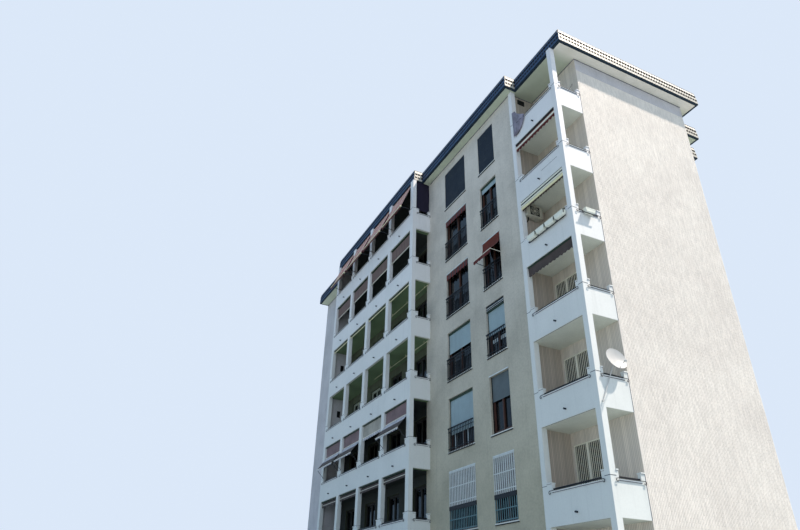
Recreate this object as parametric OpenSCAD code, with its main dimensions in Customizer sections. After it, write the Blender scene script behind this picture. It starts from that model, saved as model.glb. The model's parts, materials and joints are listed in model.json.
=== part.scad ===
// Apartment block with corner loggias, a flush middle wall and a projecting
// loggia block, under one stepped flat roof with a tiled skirt.
// X runs along the street front, Y runs into the building and Z is up.
// The origin is on the ground, in the middle of the plan.

/* [Storeys] */
// Height from one floor to the next
storey_h = 3050; // [2900:10:3300]
// Height of the first row of parapets above the ground
plinth_h = 1034; // [800:2:1400]
// Number of storeys above the plinth
storeys = 7; // [7:1:9]
// Height from the underside of the top parapets to the soffit
top_h = 3160; // [3000:10:3400]
// Thickness of a floor slab
slab_t = 250; // [180:10:350]
// Thickness of the ground slab
base_t = 200; // [120:10:300]

/* [Plan] */
// Width of the corner block with the near loggias
near_w = 3020; // [2700:10:3600]
// Depth of the near loggias
near_d = 1310; // [1100:10:1700]
// Length of the gable wall behind the loggias
gable_l = 6230; // [5000:10:8000]
// Width of the flush middle front
middle_w = 7560; // [7300:10:9000]
// Set-back of the middle wall from the near block's face
middle_set = 50; // [20:5:90]
// Length of the middle wall that runs on inside the left block
middle_return = 330; // [200:10:500]
// Pitch of the left block's bays
bay_w = 2770; // [2500:10:3200]
// Number of bays in the left block
bays = 4; // [3:1:6]
// How far the left block stands in front of the near block
left_proj = 990; // [700:10:1300]
// Width of the plain bay at the far left end
far_w = 5810; // [4000:10:8000]
// Width of the first step at the rear corner
step_1_w = 1630; // [1200:10:2200]
// Depth of the first step at the rear corner
step_1_d = 1910; // [1200:10:2600]
// Width of the second step at the rear corner
step_2_w = 1080; // [800:10:1600]
// Depth of the second step at the rear corner
step_2_d = 1150; // [800:10:1600]
// Thickness of an outer wall
wall_t = 300; // [240:10:360]
// Thickness of the wall between the near loggias and the middle rooms
partition_t = 200; // [150:10:260]
// How far that wall shows beside the near loggias' left column
partition_show = 70; // [40:5:120]

/* [Columns] */
// Side of the near block's square columns
near_col = 220; // [180:10:280]
// Width of the left block's columns
left_col_w = 320; // [240:10:400]
// Depth of the left block's columns
left_col_d = 200; // [160:10:280]
// Thickness of the wall that closes the left block's far end
end_wall_t = 150; // [120:10:220]

/* [Parapets] */
// Thickness of a parapet
parapet_t = 120; // [90:5:150]
// Height of a parapet up to its ledge
parapet_h = 980; // [850:10:1060]
// Thickness of the ledge stone
ledge_t = 30; // [20:5:50]
// Overhang of the ledge stone
ledge_out = 30; // [15:5:50]
// Height of the raised ends above the parapet
end_h = 265; // [200:5:340]
// Thickness of the cover plate on a raised end
plate_t = 35; // [20:5:50]
// Overhang of the cover plate
plate_out = 25; // [10:5:40]
// Length of the raised end beside the corner column
end_near = 120; // [80:10:200]
// Length of the raised end at the partition side
end_far = 260; // [150:10:400]
// Length of the side parapet's raised end at the column
end_side_col = 90; // [60:5:160]
// Length of the side parapet's raised end at the gable
end_side_wall = 160; // [100:10:260]
// Length of a raised end beside a left column
end_left = 120; // [80:10:200]
// Length of the left side parapet's raised end at the column
end_left_col = 160; // [100:10:240]
// Length of the left side parapet's raised end at the middle wall
end_left_wall = 130; // [100:10:240]
// Height of the handrail's centre above the parapet's foot
rail_z = 1085; // [1050:5:1180]
// Thickness of a handrail
rail_t = 40; // [25:5:60]
// Diameter of a drain spout
spout_d = 60; // [40:5:90]
// Length of a drain spout in front of the parapet
spout_out = 90; // [50:10:150]
// Height of a drain spout above the parapet's foot
spout_z = 300; // [265:5:360]

/* [Openings] */
// Distance of the narrow windows from the near block
win_b_off = 1440; // [1200:10:1600]
// Width of the narrow windows
win_b_w = 1290; // [1100:10:1400]
// Distance of the wide windows from the near block
win_a_off = 3960; // [3700:10:4100]
// Width of the wide windows
win_a_w = 1950; // [1700:10:2100]
// Height of a front window's sill above the storey line
win_sill = 400; // [360:10:500]
// Height of a front window's head above the storey line
win_head = 2650; // [2500:10:2700]
// Width of a loggia door
door_w = 1300; // [1100:10:1500]
// Width of the wall strip beside the near loggias' door
door_off = 100; // [60:10:200]
// Height of a loggia door's head above the storey line
door_head = 2630; // [2500:10:2700]
// Height of a loggia door's threshold above the floor
threshold = 20; // [10:5:40]
// Number of windows in one row of the rear wall
rear_cols = 6; // [4:1:7]
// Width of a rear window
rear_w = 1300; // [1000:10:1600]
// Height of a rear window's sill above the storey line
rear_sill = 1150; // [1000:10:1400]

/* [Windows] */
// Distance from the wall's face to a front window's frame
reveal = 120; // [90:5:150]
// Distance from the wall's face to a loggia door's frame
door_reveal = 80; // [50:5:120]
// Depth of a frame
frame_t = 70; // [50:5:90]
// Width of a frame's members
frame_w = 60; // [45:5:90]
// Thickness of a glass pane
pane_t = 12; // [6:1:20]
// Gap between a frame and its opening
fit_gap = 5; // [2:1:10]
// Thickness of a window sill
sill_t = 40; // [30:5:60]
// How far a sill stands in front of the wall
sill_out = 40; // [20:5:70]
// How far a sill runs past its opening
sill_side = 50; // [30:5:90]
// Thickness of a roller shutter
shutter_t = 25; // [15:5:40]
// Height of a window railing above the sill
guard_h = 950; // [850:10:1050]
// Gap below a window railing
guard_gap = 100; // [60:10:140]

/* [Roof] */
// Roof overhang at the gable
eaves_gable = 500; // [400:10:600]
// Roof overhang at the rear
eaves_rear = 640; // [400:10:800]
// Set-back of the roof edge from the near block's face
eaves_near_back = 125; // [100:5:200]
// Roof overhang over the middle wall
eaves_middle = 470; // [300:10:550]
// Set-back of the roof edge from the left block's face
eaves_left_back = 60; // [10:5:90]
// Roof overhang over the far left wall
eaves_far = 680; // [500:10:800]
// How far the middle roof edge runs over the near block
eaves_corner = 390; // [280:10:480]
// Set-back of the left roof edge from the left block's side
eaves_side_back = 40; // [20:5:60]
// Roof overhang at the left block's far side
eaves_end = 80; // [40:10:160]
// Height of the gutter strip
gutter_h = 70; // [50:5:120]
// Width of the gutter strip
gutter_w = 100; // [70:5:130]
// Thickness of the roof slab
deck_t = 200; // [160:10:260]
// Height of the tiled skirt above the gutter
skirt_h = 620; // [560:10:700]
// Height of the skirt's lowest tile course
first_course_h = 245; // [200:5:280]
// Height of each further tile course
course_h = 245; // [200:5:280]
// Step of the skirt's face from one course to the next
course_step = 22; // [10:2:30]
// Thickness of the skirt wall at its head
skirt_t = 140; // [110:5:180]
// Thickness of the cap on the skirt
cap_t = 26; // [15:1:40]
// Overhang of the cap
cap_out = 15; // [5:1:22]

/* [Awnings] */
// Thickness of the cloth solids
cloth_t = 30; // [20:5:50]
// Height of the top awnings' drop
top_awning_drop = 1760; // [1400:10:1900]
// Reach of the top awnings in front of the left block
top_awning_out = 560; // [400:10:700]
// Height of the long drop awnings
drop_long = 850; // [600:10:1000]
// Height of the short drop awnings
drop_short = 340; // [250:10:450]
// Height of the near loggias' valances
valance_h = 400; // [250:10:500]
// Height of the upright part of the window awning that is swung out
swing_head = 500; // [350:10:700]
// Reach of the window awning that is swung out
swing_out = 500; // [300:10:700]
// Height of that awning's valance
swing_valance = 200; // [100:10:250]
// Height of the upright part of the third storey's awnings that are swung out
slant_head = 640; // [450:10:700]
// Reach of those awnings in front of the left block
slant_out = 410; // [200:10:520]
// Height from their bend to their front bar
slant_drop = 690; // [400:10:800]
// Height of their valance
slant_valance = 120; // [60:10:200]
// Width of the cloth that hangs out of the top corner loggia
cloth_top_w = 600; // [400:10:900]
// Length of that cloth in front of the parapet
cloth_top_h = 1450; // [1000:10:1600]
// Height of that cloth's upper edge above the storey line
cloth_top_z = 1800; // [1650:10:2200]

/* [Fittings] */
// Diameter of the satellite dish
dish_d = 740; // [600:10:950]
// Depth of the satellite dish
dish_depth = 80; // [50:5:120]
// Thickness of the dish's sheet
dish_t = 12; // [6:1:20]
// Distance of the dish's centre from the gable's plane
dish_out = 110; // [100:10:300]
// Distance of the dish's centre behind the near block's face
dish_back = 770; // [600:5:850]
// Height of the dish's centre above its storey line
dish_z = 1545; // [1380:5:1600]
// Angle of the dish's axis from upright
dish_tilt = 74; // [70:1:85]
// Turn of the dish's axis from the street's direction
dish_turn = -4; // [-20:1:20]
// Diameter of the hub behind the dish
hub_d = 110; // [100:5:140]
// Length of the hub behind the dish
hub_l = 70; // [60:5:100]
// Diameter of the dish's mast
mast_d = 30; // [25:5:50]
// Height of the mast's foot above its storey line
mast_z = 160; // [150:10:400]
// Distance of the receiver in front of the dish's centre
feed_out = 340; // [280:10:400]
// Distance of the receiver below the dish's axis
feed_down = 280; // [200:10:320]
// Diameter of the receiver
feed_d = 60; // [40:5:80]
// Diameter of the receiver's arm
arm_d = 24; // [16:2:30]
// Width of one planter box
planter_w = 500; // [450:10:540]
// Height of one planter box
planter_h = 200; // [150:10:240]
// Depth of one planter box
planter_d = 180; // [140:10:220]
// Gap between two planter boxes
planter_gap = 45; // [20:5:80]
// Distance of the first planter box from the raised end
planter_off = 135; // [60:5:200]
// How far a planter box hangs below the ledge's top
planter_drop = 120; // [60:5:140]
// Length of the outdoor unit
unit_l = 750; // [650:10:850]
// Depth of the outdoor unit
unit_d = 280; // [240:10:320]
// Height of the outdoor unit
unit_h = 540; // [480:10:590]
// Gap between the outdoor unit and the ceiling
unit_gap = 80; // [40:10:200]
// Distance of the outdoor unit behind the near block's face
unit_back = 180; // [150:10:400]
// Diameter of the outdoor unit's fan opening
unit_fan = 400; // [340:10:440]
// Depth of the outdoor unit's fan opening
unit_fan_d = 40; // [20:5:60]
// Thickness of the outdoor unit's brackets
unit_arm = 30; // [20:5:40]

/* [Hidden] */
$fn = 48;
left_w = bays * bay_w + left_col_w;
house_l = near_w + middle_w + left_w + far_w;
house_d = left_proj + near_d + gable_l + step_1_d + step_2_d;
x_gable = house_l / 2;
x_near = x_gable - near_w;
x_left = x_near - middle_w;
x_end = x_left - left_w;
x_far = -house_l / 2;
x_step_1 = x_gable - step_1_w;
x_step_2 = x_step_1 - step_2_w;
y_left = -house_d / 2;
y_near = y_left + left_proj;
y_middle = y_near + middle_set;
y_back = y_middle + wall_t;
y_door = y_near + near_d;
y_rear_0 = y_door + gable_l;
y_rear_1 = y_rear_0 + step_1_d;
y_rear_2 = y_rear_1 + step_2_d;
x_room = x_near + partition_show;
x_return = x_left - middle_return;
x_back_end = x_return + wall_t;
z_soffit = plinth_h + (storeys - 1) * storey_h + top_h;
z_skirt = z_soffit + gutter_h;
z_cap = z_skirt + skirt_h;
laps = concat([0], [for (z = [first_course_h : course_h : skirt_h - 1]) z]);
levels = [for (j = [0 : storeys - 1]) plinth_h + j * storey_h];
win_a = [x_near - win_a_off - win_a_w, x_near - win_a_off];
win_b = [x_near - win_b_off - win_b_w, x_near - win_b_off];
door_x = [x_room + door_off, x_room + door_off + door_w];
rear_pitch = (x_step_2 - x_far) / rear_cols;
near_front_x = [x_near + near_col + end_far, x_gable - near_col - end_near];
near_side_y = [y_near + near_col + end_side_col, y_door - end_side_wall];
left_side_y = [y_left + left_col_d + end_left_col, y_middle - end_left_wall];
rail_in = (parapet_t - rail_t) / 2;
drops_a = [0, 0, 0.70, 0.45, 0, 0, 1];
drops_b = [0, 0, 0.45, 0.60, 0, 0.2, 1];
slant_bays = [0, 2, 3];
top_level = levels[storeys - 1];
end_top = parapet_h + end_h + plate_t;
rail_top = rail_z + rail_t / 2;
over = 1;

// A block between two values on each axis
module block(x, y, z) {
    translate([x[0], y[0], z[0]])
        cube([x[1] - x[0], y[1] - y[0], z[1] - z[0]]);
}

// Left column i and the clear bay i beside it, counted from the right
function left_col_x(i) = [x_left - i * bay_w - left_col_w, x_left - i * bay_w];
function bay_x(i) = [x_left - (i + 1) * bay_w, x_left - i * bay_w - left_col_w];
function middle_of(r) = (r[0] + r[1]) / 2;
function left_door_x(i) = [middle_of(bay_x(i)) - door_w / 2, middle_of(bay_x(i)) + door_w / 2];
function rear_win_x(i) = [
    x_far + (i + 0.5) * rear_pitch - rear_w / 2,
    x_far + (i + 0.5) * rear_pitch + rear_w / 2
];

// The stretch between the raised ends of the left block's bay i
function left_front_x(i) = [bay_x(i)[0] + end_left, bay_x(i)[1] - end_left];

// Height of the slab or soffit over storey j
function ceiling_z(j) = j < storeys - 1 ? levels[j] + storey_h : z_soffit;

// Share of a window that its roller shutter covers
function drop_of(drops, j) = j < len(drops) ? drops[j] : 0;

// Outline of the rooms, along the inner faces of the outer walls
function room_outline() = [
    [x_far + wall_t, y_back + wall_t],
    [x_back_end, y_back + wall_t],
    [x_back_end, y_back],
    [x_room - partition_t, y_back],
    [x_room - partition_t, y_door + wall_t],
    [x_gable - wall_t, y_door + wall_t],
    [x_gable - wall_t, y_rear_0 - wall_t],
    [x_step_1 - wall_t, y_rear_0 - wall_t],
    [x_step_1 - wall_t, y_rear_1 - wall_t],
    [x_step_2 - wall_t, y_rear_1 - wall_t],
    [x_step_2 - wall_t, y_rear_2 - wall_t],
    [x_far + wall_t, y_rear_2 - wall_t]
];

// Outline of the whole footprint with the loggias
function foot_outline() = [
    [x_far, y_back], [x_end, y_back], [x_end, y_left], [x_left, y_left],
    [x_left, y_middle], [x_near, y_middle], [x_near, y_near], [x_gable, y_near],
    [x_gable, y_rear_0], [x_step_1, y_rear_0], [x_step_1, y_rear_1],
    [x_step_2, y_rear_1], [x_step_2, y_rear_2], [x_far, y_rear_2]
];

// Whether a bay's awning on the third storey is swung out
function is_slanted(i) = len(search(i, slant_bays)) > 0;

// Stepped outline of the roof's edge, moved inwards by d
function roof_outline(d) = [
    [x_far + d, y_back - eaves_far + d],
    [x_end - eaves_end + d, y_back - eaves_far + d],
    [x_end - eaves_end + d, y_left + eaves_left_back + d],
    [x_left - eaves_side_back - d, y_left + eaves_left_back + d],
    [x_left - eaves_side_back - d, y_middle - eaves_middle + d],
    [x_near + eaves_corner - d, y_middle - eaves_middle + d],
    [x_near + eaves_corner - d, y_near + eaves_near_back + d],
    [x_gable + eaves_gable - d, y_near + eaves_near_back + d],
    [x_gable + eaves_gable - d, y_rear_0 + eaves_rear - d],
    [x_step_1 + eaves_gable - d, y_rear_0 + eaves_rear - d],
    [x_step_1 + eaves_gable - d, y_rear_1 + eaves_rear - d],
    [x_step_2 + eaves_gable - d, y_rear_1 + eaves_rear - d],
    [x_step_2 + eaves_gable - d, y_rear_2 + eaves_rear - d],
    [x_far + d, y_rear_2 + eaves_rear - d]
];

// A ring between two insets of the roof's outline
module roof_ring(outer, inner, z0, h) {
    translate([0, 0, z0])
        linear_extrude(height = h)
            difference() {
                polygon(roof_outline(outer));
                polygon(roof_outline(inner));
            }
}

// Every other mitred run of such a ring, from the given corner on
module roof_runs(first, outer, inner, z0, h) {
    edge = roof_outline(outer);
    back = roof_outline(inner);
    corners = len(edge);
    translate([0, 0, z0])
        linear_extrude(height = h)
            for (i = [first : 2 : corners - 1]) {
                next = (i + 1) % corners;
                polygon([edge[i], edge[next], back[next], back[i]]);
            }
}

// The blocks over, between and under the openings of one window column
module spandrels(x, y, sill, head) {
    block(x, y, [base_t, levels[0] + sill]);
    for (j = [0 : storeys - 1])
        block(x, y, [
            levels[j] + head,
            j < storeys - 1 ? levels[j + 1] + sill : z_soffit
        ]);
}

// A full-height strip of wall
module pier(x, y) {
    block(x, y, [base_t, z_soffit]);
}

// A two-leaf frame that stands on the sill of its opening
module frame(x, y, z) {
    mid = middle_of(x);
    x0 = x[0] + fit_gap;
    x1 = x[1] - fit_gap;
    z1 = z[1] - fit_gap;
    difference() {
        block([x0, x1], y, [z[0], z1]);
        for (s = [[x0 + frame_w, mid - frame_w / 2], [mid + frame_w / 2, x1 - frame_w]])
            block(s, [y[0] - over, y[1] + over], [z[0] + frame_w, z1 - frame_w]);
    }
}

// The pane that closes a frame from behind
module pane(x, y, z) {
    inset = fit_gap + frame_w / 2;
    block([x[0] + inset, x[1] - inset], y, [z[0] + frame_w / 2, z[1] - inset]);
}

// The two columns of the near block
module near_column_shape() {
    for (x = [[x_near, x_near + near_col], [x_gable - near_col, x_gable]])
        block(x, [y_near, y_near + near_col], [base_t, z_soffit]);
}

// The row of columns of the left block
module left_column_shape() {
    for (i = [0 : bays])
        block(left_col_x(i), [y_left, y_left + left_col_d], [base_t, z_soffit]);
}

// Structure
module ground_slab() {
    color("dimgray") linear_extrude(height = base_t) polygon(foot_outline());
}

module plinth_walls() {
    z = [base_t, levels[0]];
    color("silver") {
        block([x_near + near_col, x_gable - near_col], [y_near, y_near + parapet_t], z);
        block([x_gable - parapet_t, x_gable], [y_near + near_col, y_door], z);
        for (i = [0 : bays - 1])
            block(bay_x(i), [y_left, y_left + parapet_t], z);
        block([x_left - parapet_t, x_left], [y_left + left_col_d, y_middle], z);
    }
}

module floor_slabs() {
    color("gainsboro")
        for (z = levels)
            translate([0, 0, z]) linear_extrude(height = slab_t) polygon(room_outline());
}

module near_slabs() {
    color("#b9bb9d")
        for (z = levels)
            difference() {
                block([x_room, x_gable - parapet_t], [y_near + parapet_t, y_door], [z, z + slab_t]);
                near_column_shape();
            }
}

module left_slabs() {
    color("#b9bb9d")
        for (z = levels)
            difference() {
                block([x_end + end_wall_t, x_left - parapet_t], [y_left + parapet_t, y_back], [z, z + slab_t]);
                left_column_shape();
                block([x_return, x_left], [y_middle, y_back + over], [z, z + slab_t]);
            }
}

module gable_wall() {
    color("#e9e2d6") pier([x_gable - wall_t, x_gable], [y_door, y_rear_0]);
}

module near_back_piers() {
    color("#a89c8a") {
        pier([x_room, door_x[0]], [y_door, y_door + wall_t]);
        pier([door_x[1], x_gable - wall_t], [y_door, y_door + wall_t]);
    }
}

module near_back_spandrels() {
    color("#a89c8a") spandrels(door_x, [y_door, y_door + wall_t], slab_t + threshold, door_head);
}

module near_partition() {
    color("#a89c8a")
        translate([0, 0, base_t])
            linear_extrude(height = z_soffit - base_t)
                polygon([
                    [x_near, y_near + near_col], [x_room, y_near + near_col],
                    [x_room, y_door + wall_t], [x_room - partition_t, y_door + wall_t],
                    [x_room - partition_t, y_back], [x_near, y_back]
                ]);
}

module middle_piers() {
    y = [y_middle, y_back];
    color("#c9c4b8") {
        pier([x_return, win_a[0]], y);
        pier([win_a[1], win_b[0]], y);
        pier([win_b[1], x_near], y);
    }
}

module middle_spandrels() {
    y = [y_middle, y_back];
    color("#c9c4b8") {
        spandrels(win_a, y, win_sill - sill_t, win_head);
        spandrels(win_b, y, win_sill - sill_t, win_head);
    }
}

module left_back_piers() {
    y = [y_back, y_back + wall_t];
    color("#b5ad9e") {
        pier([left_door_x(0)[1], x_back_end], y);
        for (i = [1 : bays - 1])
            pier([left_door_x(i)[1], left_door_x(i - 1)[0]], y);
        pier([x_end, left_door_x(bays - 1)[0]], y);
    }
}

module left_back_spandrels() {
    color("#b5ad9e")
        for (i = [0 : bays - 1])
            spandrels(left_door_x(i), [y_back, y_back + wall_t], slab_t + threshold, door_head);
}

module left_end_wall() {
    color("#c8bfc4") pier([x_end, x_end + end_wall_t], [y_left + left_col_d, y_back]);
}

module far_left_wall() {
    color("#c9c4b8") pier([x_far, x_end], [y_back, y_back + wall_t]);
}

module party_wall() {
    color("#c9c4b8") pier([x_far, x_far + wall_t], [y_back + wall_t, y_rear_2 - wall_t]);
}

module rear_steps() {
    color("#c9c4b8")
        translate([0, 0, base_t])
            linear_extrude(height = z_soffit - base_t)
                polygon([
                    [x_gable - wall_t, y_rear_0], [x_step_1, y_rear_0], [x_step_1, y_rear_1],
                    [x_step_2, y_rear_1], [x_step_2, y_rear_2], [x_step_2 - wall_t, y_rear_2],
                    [x_step_2 - wall_t, y_rear_1 - wall_t], [x_step_1 - wall_t, y_rear_1 - wall_t],
                    [x_step_1 - wall_t, y_rear_0 - wall_t], [x_gable - wall_t, y_rear_0 - wall_t]
                ]);
}

module rear_piers() {
    y = [y_rear_2 - wall_t, y_rear_2];
    color("#c9c4b8") {
        pier([x_far, rear_win_x(0)[0]], y);
        for (i = [1 : rear_cols - 1])
            pier([rear_win_x(i - 1)[1], rear_win_x(i)[0]], y);
        pier([rear_win_x(rear_cols - 1)[1], x_step_2 - wall_t], y);
    }
}

module rear_spandrels() {
    color("#c9c4b8")
        for (i = [0 : rear_cols - 1])
            spandrels(rear_win_x(i), [y_rear_2 - wall_t, y_rear_2], rear_sill - sill_t, win_head);
}

// Columns and parapets
module near_columns() {
    color("white") near_column_shape();
}

module left_columns() {
    color("white") left_column_shape();
}

module near_parapets() {
    color("white")
        for (z = levels) {
            block([x_near + near_col, x_gable - near_col], [y_near, y_near + parapet_t], [z, z + parapet_h]);
            block([x_gable - parapet_t, x_gable], [y_near + near_col, y_door], [z, z + parapet_h]);
        }
}

module left_parapets() {
    color("white")
        for (z = levels) {
            for (i = [0 : bays - 1])
                block(bay_x(i), [y_left, y_left + parapet_t], [z, z + parapet_h]);
            block([x_left - parapet_t, x_left], [y_left + left_col_d, y_middle], [z, z + parapet_h]);
        }
}

// A raised end with its cover plate, open to a column or wall on its long axis
module raised_end(x, y, out, z) {
    block(x, y, [z, z + end_h]);
    block([x[0] - out[0], x[1] + out[0]], [y[0] - out[1], y[1] + out[1]], [z + end_h, z + end_h + plate_t]);
}

module near_ends(z) {
    yf = [y_near, y_near + parapet_t];
    xs = [x_gable - parapet_t, x_gable];
    raised_end([near_front_x[1], x_gable - near_col], yf, [0, plate_out], z);
    raised_end([x_near + near_col, near_front_x[0]], yf, [0, plate_out], z);
    raised_end(xs, [y_near + near_col, near_side_y[0]], [plate_out, 0], z);
    raised_end(xs, [near_side_y[1], y_door], [plate_out, 0], z);
}

module left_ends(z) {
    yf = [y_left, y_left + parapet_t];
    xs = [x_left - parapet_t, x_left];
    for (i = [0 : bays - 1]) {
        raised_end([bay_x(i)[0], left_front_x(i)[0]], yf, [0, plate_out], z);
        raised_end([left_front_x(i)[1], bay_x(i)[1]], yf, [0, plate_out], z);
    }
    raised_end(xs, [y_left + left_col_d, left_side_y[0]], [plate_out, 0], z);
    raised_end(xs, [left_side_y[1], y_middle], [plate_out, 0], z);
}

module parapet_ends() {
    color("white")
        for (level = levels) {
            near_ends(level + parapet_h);
            left_ends(level + parapet_h);
        }
}

module parapet_ledges() {
    color("whitesmoke")
        for (level = levels) {
            z = [level + parapet_h, level + parapet_h + ledge_t];
            block(near_front_x, [y_near - ledge_out, y_near + parapet_t], z);
            block([x_gable - parapet_t, x_gable + ledge_out], near_side_y, z);
            for (i = [0 : bays - 1])
                block(left_front_x(i), [y_left - ledge_out, y_left + parapet_t], z);
            block([x_left - parapet_t, x_left + ledge_out], left_side_y, z);
        }
}

module handrails() {
    color("#3a3f46")
        for (level = levels) {
            z = [level + rail_top - rail_t, level + rail_top];
            block(near_front_x, [y_near + rail_in, y_near + rail_in + rail_t], z);
            block([x_gable - rail_in - rail_t, x_gable - rail_in], near_side_y, z);
            for (i = [0 : bays - 1])
                block(left_front_x(i), [y_left + rail_in, y_left + rail_in + rail_t], z);
            block([x_left - rail_in - rail_t, x_left - rail_in], left_side_y, z);
        }
}

module drain_spouts() {
    color("gray")
        for (level = levels) {
            translate([middle_of([x_near, x_gable]), y_near, level + spout_z])
                rotate([90, 0, 0]) cylinder(h = spout_out, d = spout_d);
            for (i = [0 : bays - 1])
                translate([middle_of(bay_x(i)), y_left, level + spout_z])
                    rotate([90, 0, 0]) cylinder(h = spout_out, d = spout_d);
        }
}

// Roof
module roof_slab_shape() {
    translate([0, 0, z_soffit])
        linear_extrude(height = deck_t) polygon(roof_outline(gutter_w));
}

module roof_slab() {
    color("#d8d8cc") roof_slab_shape();
}

module gutter_runs(first) {
    color("#3b3b3b") roof_runs(first, 0, gutter_w, z_soffit, gutter_h);
}

module long_gutters() {
    gutter_runs(0);
}

module side_gutters() {
    gutter_runs(1);
}

// Runs of the skirt, in courses that each stand back from the one below
module skirt_runs(first) {
    ends = concat([for (c = [1 : len(laps) - 1]) laps[c]], [skirt_h]);
    color("#46424a")
        difference() {
            for (c = [0 : len(laps) - 1])
                roof_runs(first, c * course_step, gutter_w + skirt_t, z_skirt + laps[c], ends[c] - laps[c]);
            roof_slab_shape();
        }
}

module long_skirts() {
    skirt_runs(0);
}

module side_skirts() {
    skirt_runs(1);
}

module roof_cap() {
    color("#d9d4c6")
        roof_ring((len(laps) - 1) * course_step - cap_out, gutter_w + skirt_t, z_cap, cap_t);
}

// Windows
module window_sills() {
    color("#dcd8cf")
        for (level = levels) {
            z = [level + win_sill - sill_t, level + win_sill];
            for (x = [win_a, win_b]) {
                block(x, [y_middle - sill_out, y_back], z);
                block([x[0] - sill_side, x[1] + sill_side], [y_middle - sill_out, y_middle], z);
            }
            zr = [level + rear_sill - sill_t, level + rear_sill];
            for (i = [0 : rear_cols - 1]) {
                x = rear_win_x(i);
                block(x, [y_rear_2 - wall_t, y_rear_2 + sill_out], zr);
                block([x[0] - sill_side, x[1] + sill_side], [y_rear_2, y_rear_2 + sill_out], zr);
            }
        }
}

module window_guards() {
    y = [y_middle + rail_t / 2, y_middle + rail_t * 3 / 2];
    color("#2e3138")
        for (level = levels)
            for (x = [win_a, win_b])
                for (z = [level + win_sill + guard_gap, level + win_sill + guard_h])
                    block(x, y, [z, z + rail_t]);
}

module front_frames() {
    y = [y_middle + reveal, y_middle + reveal + frame_t];
    color("#5b4436")
        for (level = levels)
            for (x = [win_a, win_b])
                frame(x, y, [level + win_sill, level + win_head]);
}

module loggia_frames() {
    color("#e8e6df")
        for (level = levels) {
            z = [level + slab_t + threshold, level + door_head];
            frame(door_x, [y_door + door_reveal, y_door + door_reveal + frame_t], z);
            for (i = [0 : bays - 1])
                frame(left_door_x(i), [y_back + door_reveal, y_back + door_reveal + frame_t], z);
        }
}

module rear_frames() {
    y = [y_rear_2 - reveal - frame_t, y_rear_2 - reveal];
    color("#e8e6df")
        for (level = levels)
            for (i = [0 : rear_cols - 1])
                frame(rear_win_x(i), y, [level + rear_sill, level + win_head]);
}

module window_glass() {
    yf = y_middle + reveal + frame_t;
    yn = y_door + door_reveal + frame_t;
    yl = y_back + door_reveal + frame_t;
    yr = y_rear_2 - reveal - frame_t;
    color([0.35, 0.45, 0.5, 0.5])
        for (level = levels) {
            zd = [level + slab_t + threshold, level + door_head];
            for (x = [win_a, win_b])
                pane(x, [yf, yf + pane_t], [level + win_sill, level + win_head]);
            pane(door_x, [yn, yn + pane_t], zd);
            for (i = [0 : bays - 1])
                pane(left_door_x(i), [yl, yl + pane_t], zd);
            for (i = [0 : rear_cols - 1])
                pane(rear_win_x(i), [yr - pane_t, yr], [level + rear_sill, level + win_head]);
        }
}

module roller_shutters() {
    y = [y_middle + reveal - shutter_t, y_middle + reveal];
    h = win_head - win_sill;
    color("#aeb4b8")
        for (j = [0 : storeys - 1])
            for (w = [[win_a, drops_a], [win_b, drops_b]]) {
                share = drop_of(w[1], j);
                z1 = levels[j] + win_head - fit_gap;
                if (share > 0)
                    block([w[0][0] + fit_gap, w[0][1] - fit_gap], y, [z1 - share * (h - fit_gap), z1]);
            }
}

// Awnings
module near_awnings() {
    x = [x_near + near_col, x_gable - near_col];
    y = [y_near + parapet_t - cloth_t, y_near + parapet_t];
    color("#5e4038")
        for (j = [3 : 5])
            block(x, y, [ceiling_z(j) - valance_h, ceiling_z(j)]);
}

module top_awnings() {
    z = z_soffit;
    y = y_left + parapet_t;
    color("#c9b6a4")
        for (i = [0 : bays - 1])
            translate([bay_x(i)[0], 0, 0])
                rotate([90, 0, 90])
                    linear_extrude(height = bay_x(i)[1] - bay_x(i)[0])
                        polygon([
                            [y - cloth_t, z], [y, z],
                            [y_left - top_awning_out + cloth_t, z - top_awning_drop],
                            [y_left - top_awning_out, z - top_awning_drop]
                        ]);
}

module drop_awnings() {
    y = [y_left + parapet_t - cloth_t, y_left + parapet_t];
    color("#6d5248")
        for (i = [0 : bays - 1]) {
            block(bay_x(i), y, [ceiling_z(5) - drop_long, ceiling_z(5)]);
            if (!is_slanted(i)) block(bay_x(i), y, [ceiling_z(2) - drop_long, ceiling_z(2)]);
            block(bay_x(i), y, [ceiling_z(1) - drop_short, ceiling_z(1)]);
        }
}

// A cloth that hangs upright from z, slants out from z_bend to its front bar and ends in a valance
module bent_awning(x, y, z, z_bend, y_out, z_out, valance) {
    translate([x[0], 0, 0])
        rotate([90, 0, 90])
            linear_extrude(height = x[1] - x[0])
                polygon([
                    [y[0], z], [y[1], z], [y[1], z_bend],
                    [y_out + cloth_t, z_out], [y_out + cloth_t, z_out - valance],
                    [y_out, z_out - valance], [y_out, z_out], [y[0], z_bend]
                ]);
}

module slanted_awnings() {
    y = [y_left + parapet_t - cloth_t, y_left + parapet_t];
    z = ceiling_z(2);
    z_bend = z - slant_head;
    color("#8d8078")
        for (i = [0 : bays - 1])
            if (is_slanted(i))
                bent_awning(bay_x(i), y, z, z_bend, y_left - slant_out, z_bend - slant_drop, slant_valance);
}

module window_awnings() {
    y = [y_middle + rail_t * 3 / 2, y_middle + rail_t * 3 / 2 + cloth_t];
    z = levels[4] + win_head;
    z_bend = z - swing_head;
    color("#7a3a33") {
        for (j = [4, 5])
            block(win_a, y, [levels[j] + win_head - valance_h, levels[j] + win_head]);
        bent_awning(win_b, y, z, z_bend, y_middle - swing_out, z_bend - swing_out, swing_valance);
    }
}

// The cloth that hangs over the top corner loggia's parapet
module hanging_cloth() {
    x = x_near + near_col;
    y = y_near - plate_out - fit_gap;
    z = top_level + cloth_top_z;
    color("#7c7c8c") block([x, x + cloth_top_w], [y - cloth_t, y], [z - cloth_top_h, z]);
}

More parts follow.
